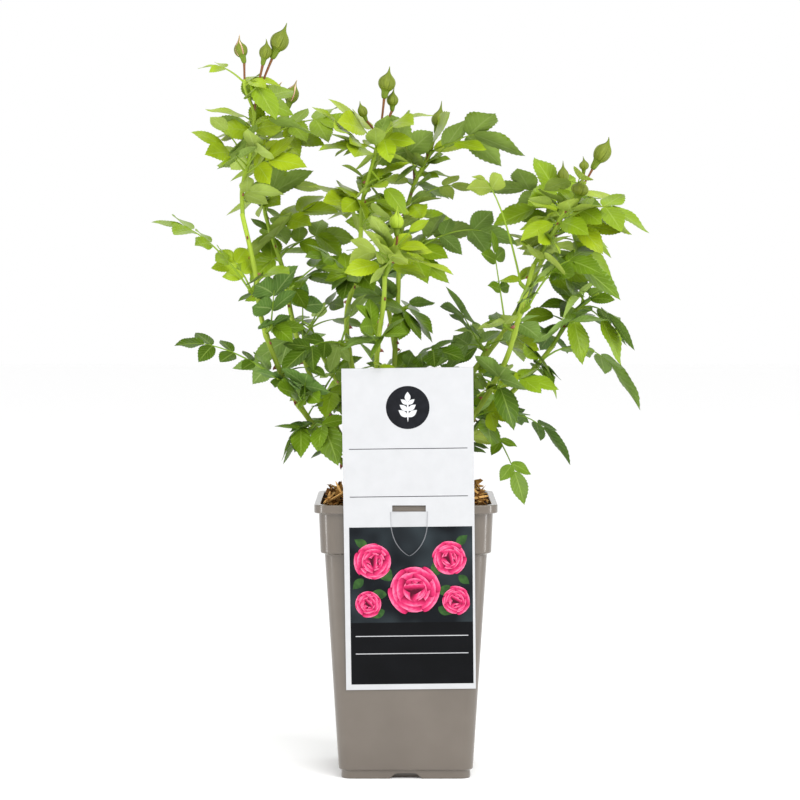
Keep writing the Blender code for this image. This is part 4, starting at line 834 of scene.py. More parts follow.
SHOOTS = (
    Shoot("left_top", "left", TIP,
          ((-142, -30, 512), (-136, -27, 537), (-133, -27, 560), (-132, -27, 578), (-139, -27, 597),
           (-140, -27, 606)),
          (Leaf(603, -40, 6, 15, 1, 0.15, 0.7), Leaf(600, 27, -22, -26, 0, 0.3, 1.02),
           Leaf(569, -40, -2, 12, 0, 0.1, 1.21), Leaf(563, -34, -1, 10, 0, 0.1, 1.26),
           Leaf(560, -39, 14, -5, 0, 0.15, 1.2), Leaf(534, -31, -22, 41, 0, 0.05, 0.7),
           Leaf(525, -45, -10, 40, 1, 0.1, 1.12), Leaf(523, 53, -29, 11, 2, 0.15, 1.2),
           Leaf(552, 5, 19, 37, 1, 0.15, 1.2)),
          (Bud(604, (-140, -27, 620), (-144, -27, 645), 11.5),
           Bud(580, (-116, -27, 624), (-103, -27, 655), 16.0),
           Bud(578, (-124, -30, 618), (-121, -32, 641), 10.5)),
          Fill(544, 2, 52)),
    Shoot("left_side", "left", 418, ((-136, -39, 424),),
          (Leaf(424, -82, -18, 60, 3, 0.16, 0.85), Leaf(422, -30, 13, 37, 2, 0.15, 0.89),
           Leaf(422, 33, -42, 21, 0, 0.15, 1.1), Leaf(420, -14, -3, -5, 0, 0.15, 1.2))),
    Shoot("left_inner", "left", 386, ((-116, -45, 393),),
          (Leaf(392, 7, -33, 64, 2, 0.0, 1.13), Leaf(390, 10, -22, 11, 1, 0.15, 1.13))),
    Shoot("left_low", "left", 342, ((-112, -39, 346),),
          (Leaf(345, -88, -18, 34, 3, 0.1, 0.72), Leaf(344, -42, 16, 15, 1, 0.15, 1.06),
           Leaf(343, -6, -30, 0, 1, 0.15, 1.12))),
    Shoot("left_under", "left", 324, ((-88, -42, 326),),
          (Leaf(326, 4, -35, 29, 1, 0.15, 0.96), Leaf(326, 14, -35, 5, 1, 0.15, 0.84),
           Leaf(326, -23, -21, 26, 0, 0.1, 1.15))),
    Shoot("left_foot", "left", 302, ((-84, -36, 302),),
          (Leaf(302, -23, -16, -20, 2, 0.25, 0.84), Leaf(302, -21, -29, -15, 1, 0.2, 0.94),
           Leaf(302, -23, 1, -27, 1, 0.15, 0.97), Leaf(302, 24, -46, -20, 1, 0.25, 0.86))),
    Shoot("left_back_top", "left_back", TIP,
          ((-124, 44, 485), (-126, 44, 503), (-122, 44, 533), (-128, 44, 556)),
          (Leaf(554, 86, -23, 12, 2, 0.15, 0.94), Leaf(548, 52, -15, 6, 1, 0.15, 0.99),
           Leaf(556, 28, 2, 23, 0, 0.15, 1.2), Leaf(490, 19, -48, 58, 1, 0.0, 1.26),
           Leaf(503, 52, 7, 11, 1, 0.15, 0.96), Leaf(472, 66, -1, 25, 2, 0.15, 1.2),
           Leaf(472, -18, 8, 15, 0, 0.15, 1.13), Leaf(452, 66, 18, 17, 2, 0.15, 0.96)),
          (Bud(556, (-115, 41, 587), (-110, 41, 608), 12.0),
           Bud(552, (-106, 46, 583), (-97, 46, 610), 12.5)),
          Fill(520, 3, 60)),
    Shoot("left_back_side", "left_back", 372, ((-92, 51, 378),),
          (Leaf(376, -44, 17, -15, 1, 0.15, 1.14), Leaf(376, 13, 45, -3, 2, 0.15, 1.02),
           Leaf(377, 46, -5, 44, 1, 0.15, 0.67), Leaf(377, 1, -20, 56, 1, 0.15, 0.93))),
    Shoot("left_back_mid", "left_back", 418, ((-102, 29, 424),),
          (Leaf(424, 38, -42, 9, 1, 0.15, 0.96), Leaf(424, 56, 12, 29, 1),
           Leaf(424, -37, -34, -6, 0, 0.1, 1.1))),
    Shoot("left_back_low", "left_back", 330, ((-72, 20, 334),),
          (Leaf(334, -17, -10, 15, 0, 0.15, 1.18), Leaf(334, 28, -20, -26, 1, 0.15, 1.14),
           Leaf(333, -29, 6, -6, 1, 0.15, 0.83), Leaf(334, 34, -2, 33, 1))),
    Shoot("centre_left_top", "centre_left", TIP, ((-38, -15, 500), (-30, -18, 530), (-23, -18, 556)),
          (Leaf(538, -52, -17, 44, 2, 0.05, 0.98), Leaf(548, -41, 4, 46, 1, 0.05, 1.2),
           Leaf(552, 8, -23, 24, 0, 0.15, 1.29), Leaf(540, -46, -26, 6, 1, 0.15, 1.2),
           Leaf(545, 0, -30, 19, 0, 0.1, 1.49), Leaf(552, 47, -5, 28, 1, 0.15, 1.08),
           Leaf(540, 35, -7, -6, 0, 0.15, 1.2), Leaf(528, 29, -27, -35, 0, 0.0, 0.9),
           Leaf(495, -46, 3, 22, 1, 0.1, 1.28), Leaf(497, 35, 0, -2, 0, 0.15, 0.89)),
          (Bud(556, (-19, -18, 590), (-14, -18, 618), 15.0),
           Bud(555, (-12, -12, 579), (-10, -12, 600), 10.0),
           Bud(554, (-34, -21, 570), (-40, -21, 588), 8.0)),
          Fill(515, 3, 50)),
    Shoot("centre_left_side", "centre_left", 432, ((-52, -24, 440),),
          (Leaf(438, -36, -29, 17, 2, 0.15, 0.9), Leaf(436, -25, 7, 9, 1, 0.15, 1.14),
           Leaf(436, -6, -30, -18, 1, 0.15, 1.05), Leaf(436, 20, -41, -8, 1, 0.15, 1.09))),
    Shoot("centre_left_low", "centre_left", 372, ((-58, -18, 378),),
          (Leaf(377, -50, -28, -23, 2, 0.15, 0.86), Leaf(377, 28, -52, -13, 1, 0.15, 0.77),
           Leaf(377, -10, 4, -22, 1, 0.15, 0.81), Leaf(377, 22, -20, 45, 1, 0.15, 0.93))),
    Shoot("centre_top", "centre", TIP, ((0, 34, 491), (8, 34, 518), (20, 34, 540), (23, 34, 548)),
          (Leaf(524, -24, -13, 58, 1, 0.0, 1.09), Leaf(540, 33, 15, 17, 0, 0.15, 1.2),
           Leaf(532, 25, -14, 58, 0, 0.1, 1.44), Leaf(522, -14, -16, 32, 1, 0.15, 0.94),
           Leaf(532, 23, -16, 8, 1, 0.15, 1.05), Leaf(520, 94, -16, 24, 2, 0.28, 1.1),
           Leaf(497, 61, 12, 16, 1, 0.15, 0.7), Leaf(500, 20, 4, 8, 0, 0.15, 0.99)),
          (Bud(545, (27, 34, 561), (32, 34, 591), 13.0), Bud(518, (5, 34, 545), (2, 34, 566), 10.0),
           Bud(536, (19, 32, 543), (22, 32, 558), 8.0)),
          Fill(505, 3, 58)),
    Shoot("centre_side", "centre", 446, ((2, 24, 452),),
          (Leaf(450, 98, -5, 15, 2, 0.18, 0.79), Leaf(450, 44, 12, 14, 1, 0.15, 1.1),
           Leaf(449, 39, -8, -16, 1, 0.2, 1.1), Leaf(449, 64, 15, 31, 1, 0.15, 1.2))),
    Shoot("centre_low", "centre", 402, ((1, 17, 408),),
          (Leaf(407, 25, -12, 9, 0, 0.15, 1.04), Leaf(407, 23, 16, -26, 1, 0.15, 1.2),
           Leaf(406, -4, -29, -24, 1, 0.15, 1.16), Leaf(406, -40, 27, 16, 1, 0.15, 1.2))),
    Shoot("centre_foot", "centre", 352, ((-1, 7, 356),),
          (Leaf(356, 52, -37, 10, 2, 0.15, 0.95), Leaf(356, 25, -12, -11, 1, 0.15, 1.09))),
    Shoot("front_top", "front", TIP, ((-14, -78, 448), (-8, -78, 462)),
          (Leaf(452, -16, -25, 39, 0, 0.1, 1.44), Leaf(452, 50, -14, -10, 0, 0.1, 1.44),
           Leaf(462, 28, -1, 25, 0, 0.1, 0.77), Leaf(446, -32, 12, 22, 0, 0.1, 0.96),
           Leaf(443, -35, -19, -2, 0, 0.15, 1.13), Leaf(446, -7, -34, 22, 1, 0.15, 1.2)),
          (Bud(462, (-8, -78, 470), (-7, -78, 497), 12.0),)),
    Shoot("front_side", "front", 376, ((-24, -84, 382),),
          (Leaf(381, -31, -13, -6, 1, 0.15, 1.19), Leaf(381, 24, -27, 8, 1, 0.15, 1.08),
           Leaf(381, -18, -10, 34, 1, 0.15, 1.02))),
    Shoot("right_front_top", "right_front", TIP, ((127, -51, 474), (141, -45, 498), (155, -42, 517)),
          (Leaf(474, 80, -8, 3, 2, 0.25, 0.9), Leaf(492, 44, 26, 15, 0),
           Leaf(480, 24, -30, -3, 0, 0.15, 1.2), Leaf(485, 60, 7, -6, 0, 0.15, 1.05),
           Leaf(470, 60, 6, 6, 1, 0.1, 0.99), Leaf(466, 56, 14, -29, 1, 0.2, 0.96),
           Leaf(480, -31, -16, -9, 0, 0.15, 1.2), Leaf(486, -27, 13, 17, 0, 0.15, 1.14)),
          (Bud(516, (161, -42, 528), (175, -42, 556), 14.5),
           Bud(512, (153, -51, 524), (152, -54, 539), 8.0),
           Bud(490, (147, -54, 500), (152, -57, 522), 15.0)),
          Fill(480, 2, 46)),
    Shoot("right_front_side", "right_front", 424, ((98, -66, 430),),
          (Leaf(430, -42, -11, 93, 1, 0.25, 0.6), Leaf(428, -21, 20, 7, 0, 0.15, 1.04))),
    Shoot("right_front_out", "right_front", 404, ((106, -66, 410),),
          (Leaf(409, 76, -11, 12, 2, 0.45, 1.11), Leaf(408, 12, -51, 27, 1, 0.15, 0.99))),
    Shoot("right_front_inner", "right_front", 388, ((84, -57, 394),),
          (Leaf(393, -6, 17, 85, 2, 0.0, 0.61), Leaf(392, -20, -21, 4, 1, 0.15, 0.99))),
    Shoot("right_front_low", "right_front", 340, ((80, -57, 340),),
          (Leaf(340, 12, -25, -28, 0, 0.2, 1.5), Leaf(340, 6, -37, 21, 1, 0.15, 1.15),
           Leaf(340, 51, -11, 0, 1, 0.15, 0.93))),
    Shoot("right_back_top", "right_back", TIP, ((131, 37, 467), (139, 37, 498), (140, 37, 506)),
          (Leaf(500, -24, 1, 43, 1, 0.0, 1.23), Leaf(497, -71, -5, 18, 2, 0.1, 1.18),
           Leaf(495, -59, -6, -14, 0, 0.1, 1.08), Leaf(490, 37, 18, 18, 1, 0.15, 1.2),
           Leaf(476, 49, 13, -22, 2, 0.15, 1.07)),
          (Bud(506, (140, 37, 513), (140, 37, 538), 10.0),),
          Fill(480, 3, 52)),
    Shoot("right_back_mid", "right_back", 424, ((116, 24, 430),),
          (Leaf(430, 51, -22, 8, 1, 0.15, 1.14), Leaf(430, 51, -7, -4, 1, 0.15, 1.08),
           Leaf(430, -13, -9, -29, 1, 0.15, 1.02))),
    Shoot("right_back_side", "right_back", 366, ((66, 32, 374),),
          (Leaf(373, -31, -41, 53, 2, 0.0, 0.98), Leaf(372, -41, -21, -13, 1, 0.15, 1.05),
           Leaf(372, -1, 31, 6, 1, 0.15, 1.09))),
    Shoot("right_low_top", "right_low", TIP, ((142, 6, 394), (153, 6, 408), (170, 6, 420)),
          (Leaf(412, -39, -31, 28, 1, 0.15, 1.18), Leaf(414, 9, 14, 14, 0, 0.15, 1.19),
           Leaf(413, 23, -12, 3, 0, 0.15, 1.14), Leaf(405, -31, -10, 8, 1, 0.15, 1.12),
           Leaf(400, 9, -9, -36, 0, 0.2, 1.12), Leaf(404, 40, -1, -40, 0, 0.3, 0.72),
           Leaf(406, 48, 1, -33, 1, 0.25, 0.84), Leaf(388, -15, -32, 0, 1, 0.15, 1.2),
           Leaf(392, 56, 42, -11, 1, 0.15, 1.2))),
    Shoot("right_low_side", "right_low", 356, ((118, -3, 360),),
          (Leaf(360, 88, -8, -34, 3, 0.3, 0.8), Leaf(359, 15, -1, -27, 1, 0.2, 0.66),
           Leaf(359, 11, -18, -17, 1, 0.15, 1.04), Leaf(358, -13, -51, 10, 1, 0.15, 1.08))),
    Shoot("right_foot", "right_low", 306, ((70, -9, 306),),
          (Leaf(306, 74, 8, -30, 2, 0.25, 0.7), Leaf(306, 4, -60, -14, 0, 0.15, 1.11),
           Leaf(305, 32, -42, -62, 2, 0.12, 0.55))),
    Shoot("back_top", "back", TIP, ((-22, 112, 450), (-24, 117, 480)),
          (Leaf(478, -22, 12, 27, 1, 0.15, 1.2), Leaf(476, 17, 28, 5, 1, 0.15, 1.2),
           Leaf(460, 33, 42, -4, 1), Leaf(455, -43, 11, -12, 1, 0.15, 1.2),
           Leaf(440, 15, 60, -7, 1, 0.15, 1.09))),
    Shoot("back_right_top", "back_right", TIP, ((78, 110, 376),),
          (Leaf(375, 47, 32, 9, 1, 0.15, 1.18), Leaf(374, -31, 6, 12, 1, 0.15, 0.91),
           Leaf(370, 35, 57, -10, 2, 0.15, 1.01), Leaf(372, 16, -10, 9, 0, 0.15, 1.08))),
    Shoot("back_left_top", "back_left", TIP, ((-88, 105, 390),),
          (Leaf(389, -35, 35, -4, 2, 0.15, 0.92), Leaf(388, 19, 1, 26, 1, 0.15, 0.86),
           Leaf(384, -26, 58, -8, 2, 0.15, 0.89))),
)

# %% Routes
ROUTE_STEP = 2.5


def smooth_route(knots, spacing=ROUTE_STEP):
    """A Catmull-Rom curve through the knots: on each span it is half of
    2b + (c - a) t + (2a - 5b + 4c - d) t^2 + (3b - a - 3c + d) t^3 for the four knots a, b, c, d round it."""
    knots = np.asarray(knots, float)
    length = np.linalg.norm(np.diff(knots, axis=0), axis=1).sum()
    count = max(2, int(round(length / spacing)) + 1)
    ends = np.vstack([2 * knots[0] - knots[1], knots, 2 * knots[-1] - knots[-2]])
    along = np.linspace(0, len(knots) - 1, count)
    first = np.minimum(along.astype(int), len(knots) - 2)
    t = (along - first)[:, None]
    a, b, c, d = ends[first], ends[first + 1], ends[first + 2], ends[first + 3]
    return 0.5 * (2 * b + (c - a) * t + (2 * a - 5 * b + 4 * c - d) * t ** 2 + (3 * b - a - 3 * c + d) * t ** 3)


def spot_at(route, height):
    """The route's place at a height, and its direction there. Heights past its top give its end."""
    heights = route[:, 2]
    if height >= heights[-1] or heights[-1] - heights[0] < 1:
        return route[-1], unit(route[-1] - route[-2])
    rising = np.maximum.accumulate(heights)
    spot = np.array([np.interp(height, rising, route[:, axis]) for axis in range(3)])
    index = int(np.clip(np.searchsorted(rising, height), 1, len(route) - 1))
    return spot, unit(route[index] - route[index - 1])


def cane_route(knots):
    """Radially out of the knob and on through the cane's knots."""
    out = unit(np.array(knots[0], float) - KNOB_CENTRE)
    return smooth_route([KNOB_CENTRE + out * (KNOB_RADIUS + GAP), *knots])


def cane_radius(route, height):
    share = (height - route[0, 2]) / (route[-1, 2] - route[0, 2])
    return CANE_FOOT_RADIUS + (CANE_TIP_RADIUS - CANE_FOOT_RADIUS) * np.clip(share, 0.0, 1.0)


def shoot_route(shoot):
    """The shoot's points from inside its cane, and its radius at the start."""
    cane = ROUTES[shoot.cane]
    if shoot.start is TIP:
        return smooth_route([cane[-1] - unit(cane[-1] - cane[-2]) * 2.0, *shoot.route]), CANE_TIP_RADIUS
    spot, _ = spot_at(cane, shoot.start)
    return smooth_route([spot, *shoot.route]), SIDE_SHOOT_RADIUS


def resampled(route, count):
    """The route as a number of points at even distances along it."""
    run = np.concatenate([[0], np.cumsum(np.linalg.norm(np.diff(route, axis=0), axis=1))])
    even = np.linspace(0, run[-1], count)
    return np.stack([np.interp(even, run, route[:, axis]) for axis in range(3)], -1)


ROUTES = {name: cane_route(knots) for name, knots in CANES.items()}
print("canes:", {name: round(float(np.linalg.norm(np.diff(route, axis=0), axis=1).sum()))
                 for name, route in ROUTES.items()}, "mm long")

# %% [markdown]
# ## Stem and canes
# The grafted stem is old wood: brown-grey, ridged and knobbly. The canes are last year's growth, smooth green
# bark that turns olive and woody near the foot, with fine ridges along it and a slight swelling wherever a
# shoot stands. The relief is in the mesh: each ring's radius varies with the angle and the distance along.

# %% Stem and canes
CANE_STATIONS = 96
CANE_SIDES = 14
CANE_SWELL = 0.55
CANE_FLARE = 1.5
CANE_FLARE_FADE = 7.0
STEM_STATIONS = 34
STEM_SIDES = 40
STEM_PROFILE = ((230.0, 10.6), (234.0, 8.6), (238.0, 8.2), (241.0, 10.0), (246.0, 12.4), (251.0, 12.2),
                (256.0, 9.6), (258.6, 5.5))


def green_bark(name, low, high, bottom, top, roughness=0.5):
    """Young rose bark: waxy green, paler towards the light, with streaks about a millimetre wide along it.
    Its colour follows the height on the plant, in metres from bottom to top."""
    material, tree = new_finish(name, Roughness=roughness, IOR=1.45, Specular_IOR_Level=0.3)
    coords = add(tree, "TexCoord")
    height = add(tree, "SeparateXYZ", {0: coords.outputs["Object"]}).outputs["Z"]
    share = add(tree, "MapRange", {"Value": height, "From Min": bottom, "From Max": top})
    stretched = add(tree, "Mapping", {"Vector": coords.outputs["UV"], "Scale": (0.25, 6.0, 1.0)})
    streaks = add(tree, "TexNoise", {"Vector": stretched, "Scale": 1.0, "Detail": 5.0})
    mixed = add(tree, "Math", {0: streaks, 1: 0.9, 2: share},
                operation="MULTIPLY_ADD")
    centred = add(tree, "Math", {0: mixed, 1: 0.45}, operation="SUBTRACT")
    tint = add(tree, "ValToRGB", {"Fac": centred}, stops=[(0.0, low), (1.0, high)])
    bump = add(tree, "Bump", {"Height": streaks, "Strength": 0.3, "Distance": 0.0002})
    return dressed(material, tint, bump)


def rough_wood():
    """Grafted old wood: matt grey-brown bark, cracked along the stem every 2 mm or so."""
    material, tree = new_finish("cracked_old_bark", Roughness=0.85, Specular_IOR_Level=0.3)
    place = add(tree, "TexCoord").outputs["Object"]
    tall = add(tree, "Mapping", {"Vector": place, "Scale": (1.0, 1.0, 0.3)})
    cracks = add(tree, "TexVoronoi", {"Vector": tall, "Scale": 1 / 0.002},
                 feature="DISTANCE_TO_EDGE")
    tint = add(tree, "ValToRGB", {"Fac": cracks},
               stops=[(0.0, "#2b2014"), (0.12, "#5c4a33"), (0.5, "#7d6a4c")])
    bump = add(tree, "Bump", {"Height": cracks, "Strength": 0.7,
                                        "Distance": 0.0006})
    return dressed(material, tint, bump)


def make_stem():
    """The profile's radius times 1 + 0.06 sin(5a + z / 3) + 0.04 sin(11a - z / 2) + 0.03 sin(2a + z / 5)."""
    heights, radii = np.array(STEM_PROFILE).T
    z = np.linspace(heights[0], heights[-1], STEM_STATIONS)
    angle = np.arange(STEM_SIDES) * 2 * np.pi / STEM_SIDES
    smooth = smooth_route(np.stack([radii, heights, heights * 0], -1), 0.5)
    radius = np.interp(z, smooth[:, 1], smooth[:, 0])[:, None]
    relief = (1 + 0.06 * np.sin(5 * angle + z[:, None] / 3) + 0.04 * np.sin(11 * angle - z[:, None] / 2)
              + 0.03 * np.sin(2 * angle + z[:, None] / 5))
    path = np.stack([z * 0, z * 0, z], -1)[None]
    rings, poles = tube(path, (radius * relief)[None], STEM_SIDES)
    stem = skin("grafted_stem", rings, poles, [rough_wood()])
    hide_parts("stem")


def make_canes():
    """Radius at a distance d along and an angle a round: the cane's own taper, a swelling of 0.55 mm near
    each shoot, a wide foot, and ridges of 4 and 2 hundredths."""
    paths, radii = [], []
    angle = np.arange(CANE_SIDES) * 2 * np.pi / CANE_SIDES
    for name, route in ROUTES.items():
        inner = KNOB_CENTRE + unit(route[0] - KNOB_CENTRE) * KNOB_RADIUS * 0.6
        path = resampled(np.vstack([inner, route]), CANE_STATIONS)
        run = np.linspace(0, np.linalg.norm(np.diff(path, axis=0), axis=1).sum(), CANE_STATIONS)
        radius = cane_radius(route, path[:, 2]) + CANE_FLARE * np.exp(-run / CANE_FLARE_FADE)
        for start in [shoot.start for shoot in SHOOTS if shoot.cane == name and shoot.start is not TIP]:
            radius = radius + CANE_SWELL * np.exp(-((path[:, 2] - start + 1.5) / 3.0) ** 2)
        relief = (1 + 0.04 * np.sin(3 * angle + run[:, None] / 9) + 0.02 * np.sin(7 * angle - run[:, None] / 6)
                  + 0.025 * np.sin(run[:, None] / 5.3 + len(name)))
        paths.append(path)
        radii.append(radius[:, None] * relief)
    finish = green_bark("green_rose_bark", "#6a7c22", "#a2ba38", 0.25, 0.5)
    canes = tube_skin("canes", paths, radii, CANE_SIDES, finish, 20.0)
    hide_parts(*["cane_" + name for name in CANES])


make_stem()
make_canes()

# %% [markdown]
# ## Prickles
# A rose has prickles, not thorns: they belong to the bark, stand on a long oval foot, hook downwards and dry
# to a dark red. They follow the golden angle up a cane, so no two stand above each other.

# %% Prickles
PRICKLE_STEP = (15.0, 27.0)
PRICKLE_LENGTH = (3.6, 6.2)
PRICKLE_FOOT = (2.1, 0.9)
# On a shoot that leads on from a cane, prickles stop at a share of its length and are smaller.
PRICKLES_END = 0.55
YOUNG_PRICKLE = 0.75
LEADER_RADIUS = 1.7
PRICKLE_STATIONS = 6
PRICKLE_SIDES = 8


def make_prickles():
    """A prickle's middle line is the parabola from its foot f through f + out L to f + out L - down L / 2,
    and its section shrinks from a foot 2.1 by 0.9 mm to a point with (1 - t)^1.3."""
    dice = random.Random(5)
    feet, outs, downs, lengths = [], [], [], []
    leaders = [(shoot.name, shoot_route(shoot)[0]) for shoot in SHOOTS if shoot.start is TIP]
    for name, route in (*ROUTES.items(), *leaders):
        run = np.concatenate([[0], np.cumsum(np.linalg.norm(np.diff(route, axis=0), axis=1))])
        on_cane = name in ROUTES
        distance = dice.uniform(*PRICKLE_STEP)
        heading = dice.uniform(0, 6)
        while distance < run[-1] * (0.98 if on_cane else PRICKLES_END):
            spot = np.array([np.interp(distance, run, route[:, axis]) for axis in range(3)])
            index = min(int(np.searchsorted(run, distance)), len(route) - 1)
            along = unit(route[index] - route[index - 1])
            side = unit(np.cross(along, (0.3, 1.0, 0.2)))
            out = side * math.cos(heading) + np.cross(along, side) * math.sin(heading)
            radius = cane_radius(route, spot[2]) if on_cane else LEADER_RADIUS
            feet.append(spot + out * (radius - 0.6))
            outs.append(out)
            downs.append(-along)
            lengths.append(dice.uniform(*PRICKLE_LENGTH) * (1.0 if on_cane else YOUNG_PRICKLE))
            heading += GOLDEN_ANGLE
            distance += dice.uniform(*PRICKLE_STEP)
    feet, outs, downs = np.array(feet), unit(np.array(outs)), unit(np.array(downs))
    lengths = np.array(lengths)[:, None, None]
    t = np.linspace(0, 0.97, PRICKLE_STATIONS)[None, :, None]
    middle = feet[:, None] + outs[:, None] * lengths * (2 * t - t ** 2) * 0.85
    middle = middle + downs[:, None] * lengths * 0.5 * t ** 2
    angle = np.arange(PRICKLE_SIDES) * 2 * np.pi / PRICKLE_SIDES
    shrink = ((1 - t) ** 1.3)[..., None]
    tall = downs[:, None, None] * (PRICKLE_FOOT[0] * shrink * np.cos(angle)[:, None])
    sideways = np.cross(outs, downs)[:, None, None] * (PRICKLE_FOOT[1] * shrink * np.sin(angle)[:, None])
    rings = middle[:, :, None] + tall + sideways
    poles = np.stack([feet - outs * 0.3, middle[:, -1] + outs * 0.1], axis=1)
    uv = along_and_round(len(feet), PRICKLE_STATIONS, PRICKLE_SIDES)
    material, tree = new_finish("dry_red_prickle", Roughness=0.42, IOR=1.5)
    place = add(tree, "TexCoord").outputs["UV"]
    along = add(tree, "SeparateXYZ", {0: place}).outputs["X"]
    tint = add(tree, "ValToRGB", {"Fac": along},
               stops=[(0.0, "#8f7a3c"), (0.25, "#813a26"), (1.0, "#571a16")])
    prickles = skin("prickles", rings, poles, [dressed(material, tint)], uv=uv)
    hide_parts(*["cane_" + name for name in CANES])


make_prickles()

# %% [markdown]
# ## The plan of every leaf
# A rose leaf is a stalk with leaflets in pairs and one at its end. The plan below gives each stalk's middle
# line and each leaflet's base, direction and length, and it steers a leaflet aside, or leaves it out, where it
# would touch the pot, the card, a cane or another leaflet. Coarse eight-faced leaflets are enough for that
# test, and they are the ones that the solids are made of. The finer leaves that the solids leave out come
# last, on every shoot and low on every cane, where they leave the openings in the bush open. Dealing leaves
# out at random would be shorter, but would not give this bush its own outline.

# %% Leaf plan
Planned = namedtuple("Planned", "shoot leaf root turn stalk_end leaflets")
FINE_STEP = 7.5
FINE_REACH = (28.0, 58.0)
FINE_RISE = (-0.2, 0.45)
FINE_SIZE = (0.95, 1.3)
FINE_PAIRS = (0, 1, 1, 1, 2)
# One seed a stem, in the order of the shoots and then the canes.
FINE_SEEDS = (2, 1, 2, 0, 0, 0, 4, 0, 2, 5, 2, 0, 8, 7, 0, 5, 2, 2, 0, 6, 0, 1, 3, 0, 0, 0, 7, 6, 0, 0,
              7, 2, 7, 7, 7, 7, 0, 1, 2, 2, 3, 1, 2, 8)
FINE_LOWEST = 262.0
# Canes carry smaller leaves, by a share, below a height. Their stalks are tested from clear of the cane.
CANE_SMALL = 0.65
CANE_TOP = 350.0
CANE_CLEAR = 6.5
CELL_FACES = [(0, 2, 4), (0, 4, 3), (0, 3, 5), (0, 5, 2), (1, 4, 2), (1, 3, 4), (1, 5, 3), (1, 2, 5)]


# Where the sky shows through or around the bush, seen from the front: across, height and radius.
SKY = ((-200, 521, 34), (-171, 505, 23), (-203, 594, 31), (-182, 303, 52), (-171, 403, 23), (-200, 418, 30),
       (-134, 316, 23), (-142, 380, 14), (-154, 388, 15), (-159, 486, 13), (-172, 600, 15), (-158, 595, 13),
       (-174, 438, 12), (-81, 602, 16), (-93, 624, 16), (-56, 630, 40), (-37, 598, 11), (-70, 530, 12),
       (5, 595, 13), (25, 629, 41), (76, 618, 52), (136, 606, 64), (55, 573, 15), (78, 534, 13), (53, 497, 11),
       (65, 503, 11), (66, 534, 11), (105, 548, 12), (130, 546, 11), (148, 546, 14), (65, 419, 19),
       (55, 434, 16), (194, 587, 34), (203, 555, 26), (192, 410, 11), (208, 454, 18), (176, 335, 21),
       (159, 348, 14), (143, 312, 20), (112, 270, 19), (99, 284, 11), (180, 294, 43))


def fill_leaves(fill, dice):
    """Leaves with one pair of leaflets that stand behind and in front of a shoot by turns."""
    leaves = []
    for number in range(fill.count):
        heading = math.radians(90 + 180 * (number % 2) + dice.uniform(-28, 28))
        reach = fill.reach * dice.uniform(0.8, 1.1)
        rise = reach * dice.uniform(-0.1, 0.3)
        right, back = reach * math.cos(heading), reach * math.sin(heading)
        leaves.append(Leaf(fill.top - FILL_STEP * number, right, back, rise, 1))
    return leaves


def middle_line(root, leaf):
    """The leaf's middle line, a parabola over its straight span: root + span t + lift t (1 - t)."""
    span = np.array((leaf.right, leaf.back, leaf.up), float)
    lift = UP * 4 * leaf.arch * np.linalg.norm(span)
    return span, lift, lambda t: root + span * t + lift * t * (1 - t)


def plan_leaf(root, leaf, turn):
    """The share of the span that is stalk, and each leaflet's base, direction, sideways direction, length."""
    span, lift, middle = middle_line(root, leaf)
    length = float(np.linalg.norm(span))
    size = min((LEAFLET_BASE[leaf.pairs] + LEAFLET_SHARE * length) * leaf.size, LEAFLET_MOST * length)
    stalk_end = 1 - size / length

    def plane(t):
        ahead = unit(span + lift * (1 - 2 * t))
        level = np.cross(ahead, UP)
        level = unit(level) if np.linalg.norm(level) > 0.25 else np.array((0.0, 1.0, 0.0))
        angle = turn if level[1] > 0 else -turn
        return ahead, level * math.cos(angle) + np.cross(level, ahead) * math.sin(angle)

    _, side = plane(stalk_end)
    base, tip = middle(stalk_end), middle(1.0)
    leaflets = [(base, unit(tip - base), side, float(np.linalg.norm(tip - base)))]
    for at, share in zip(PAIR_AT[leaf.pairs], PAIR_SIZE[leaf.pairs]):
        ahead, side = plane(at * stalk_end)
        for hand in (-1, 1):
            along = unit(ahead * PAIR_AIM[0] + side * PAIR_AIM[1] * hand - UP * PAIR_AIM[2])
            across = unit(np.cross(along, np.cross(side, ahead)))
            stagger = hand * PAIR_STAGGER / (length * stalk_end)
            leaflets.append((middle((at + stagger) * stalk_end), along, across, size * share))
    return stalk_end, leaflets


def yawed(leaflet, yaw):
    """The leaflet turned in its own plane."""
    base, along, across, length = leaflet
    normal = np.cross(across, along)
    along = along * math.cos(yaw) + across * math.sin(yaw)
    return base, along, np.cross(along, normal), length


def cell(leaflet, root=-LEAFLET_ROOT, grow=0.0):
    """The coarse leaflet as a search tree: its two ends, its two edges, and its midrib's top and bottom."""
    base, along, across, length = leaflet
    normal = np.cross(across, along)
    half = LEAFLET_HALF * length + grow
    thick = LEAFLET_THICK / 2 + grow
    u = np.array((1.0, root / length, *[LEAFLET_WIDEST] * 4))[:, None]
    side = np.array((0, 0, -half, half, 0, 0))[:, None]
    rise = np.array((0, 0, LEAFLET_FOLD * half, LEAFLET_FOLD * half, thick, -thick))[:, None]
    points = base + along * u * length + across * side + normal * rise - UP * LEAFLET_BEND * length * u ** 2
    return BVHTree.FromPolygons((points * MM).tolist(), CELL_FACES)


def rod(points, radius):
    """A thin three-sided rod along two or more points, as a search tree."""
    rings, _ = tube(np.array(points)[None], np.full((1, len(points)), radius), 3)
    faces = [(3 * i + k, 3 * i + (k + 1) % 3, 3 * i + 3 + (k + 1) % 3, 3 * i + 3 + k)
             for i in range(len(points) - 1) for k in range(3)]
    return BVHTree.FromPolygons((rings.reshape(-1, 3) * MM).tolist(), faces)


def tree_of(node):
    mesh = NODES[node].data
    return BVHTree.FromPolygons([vert.co[:] for vert in mesh.vertices], [f.vertices[:] for f in mesh.polygons])


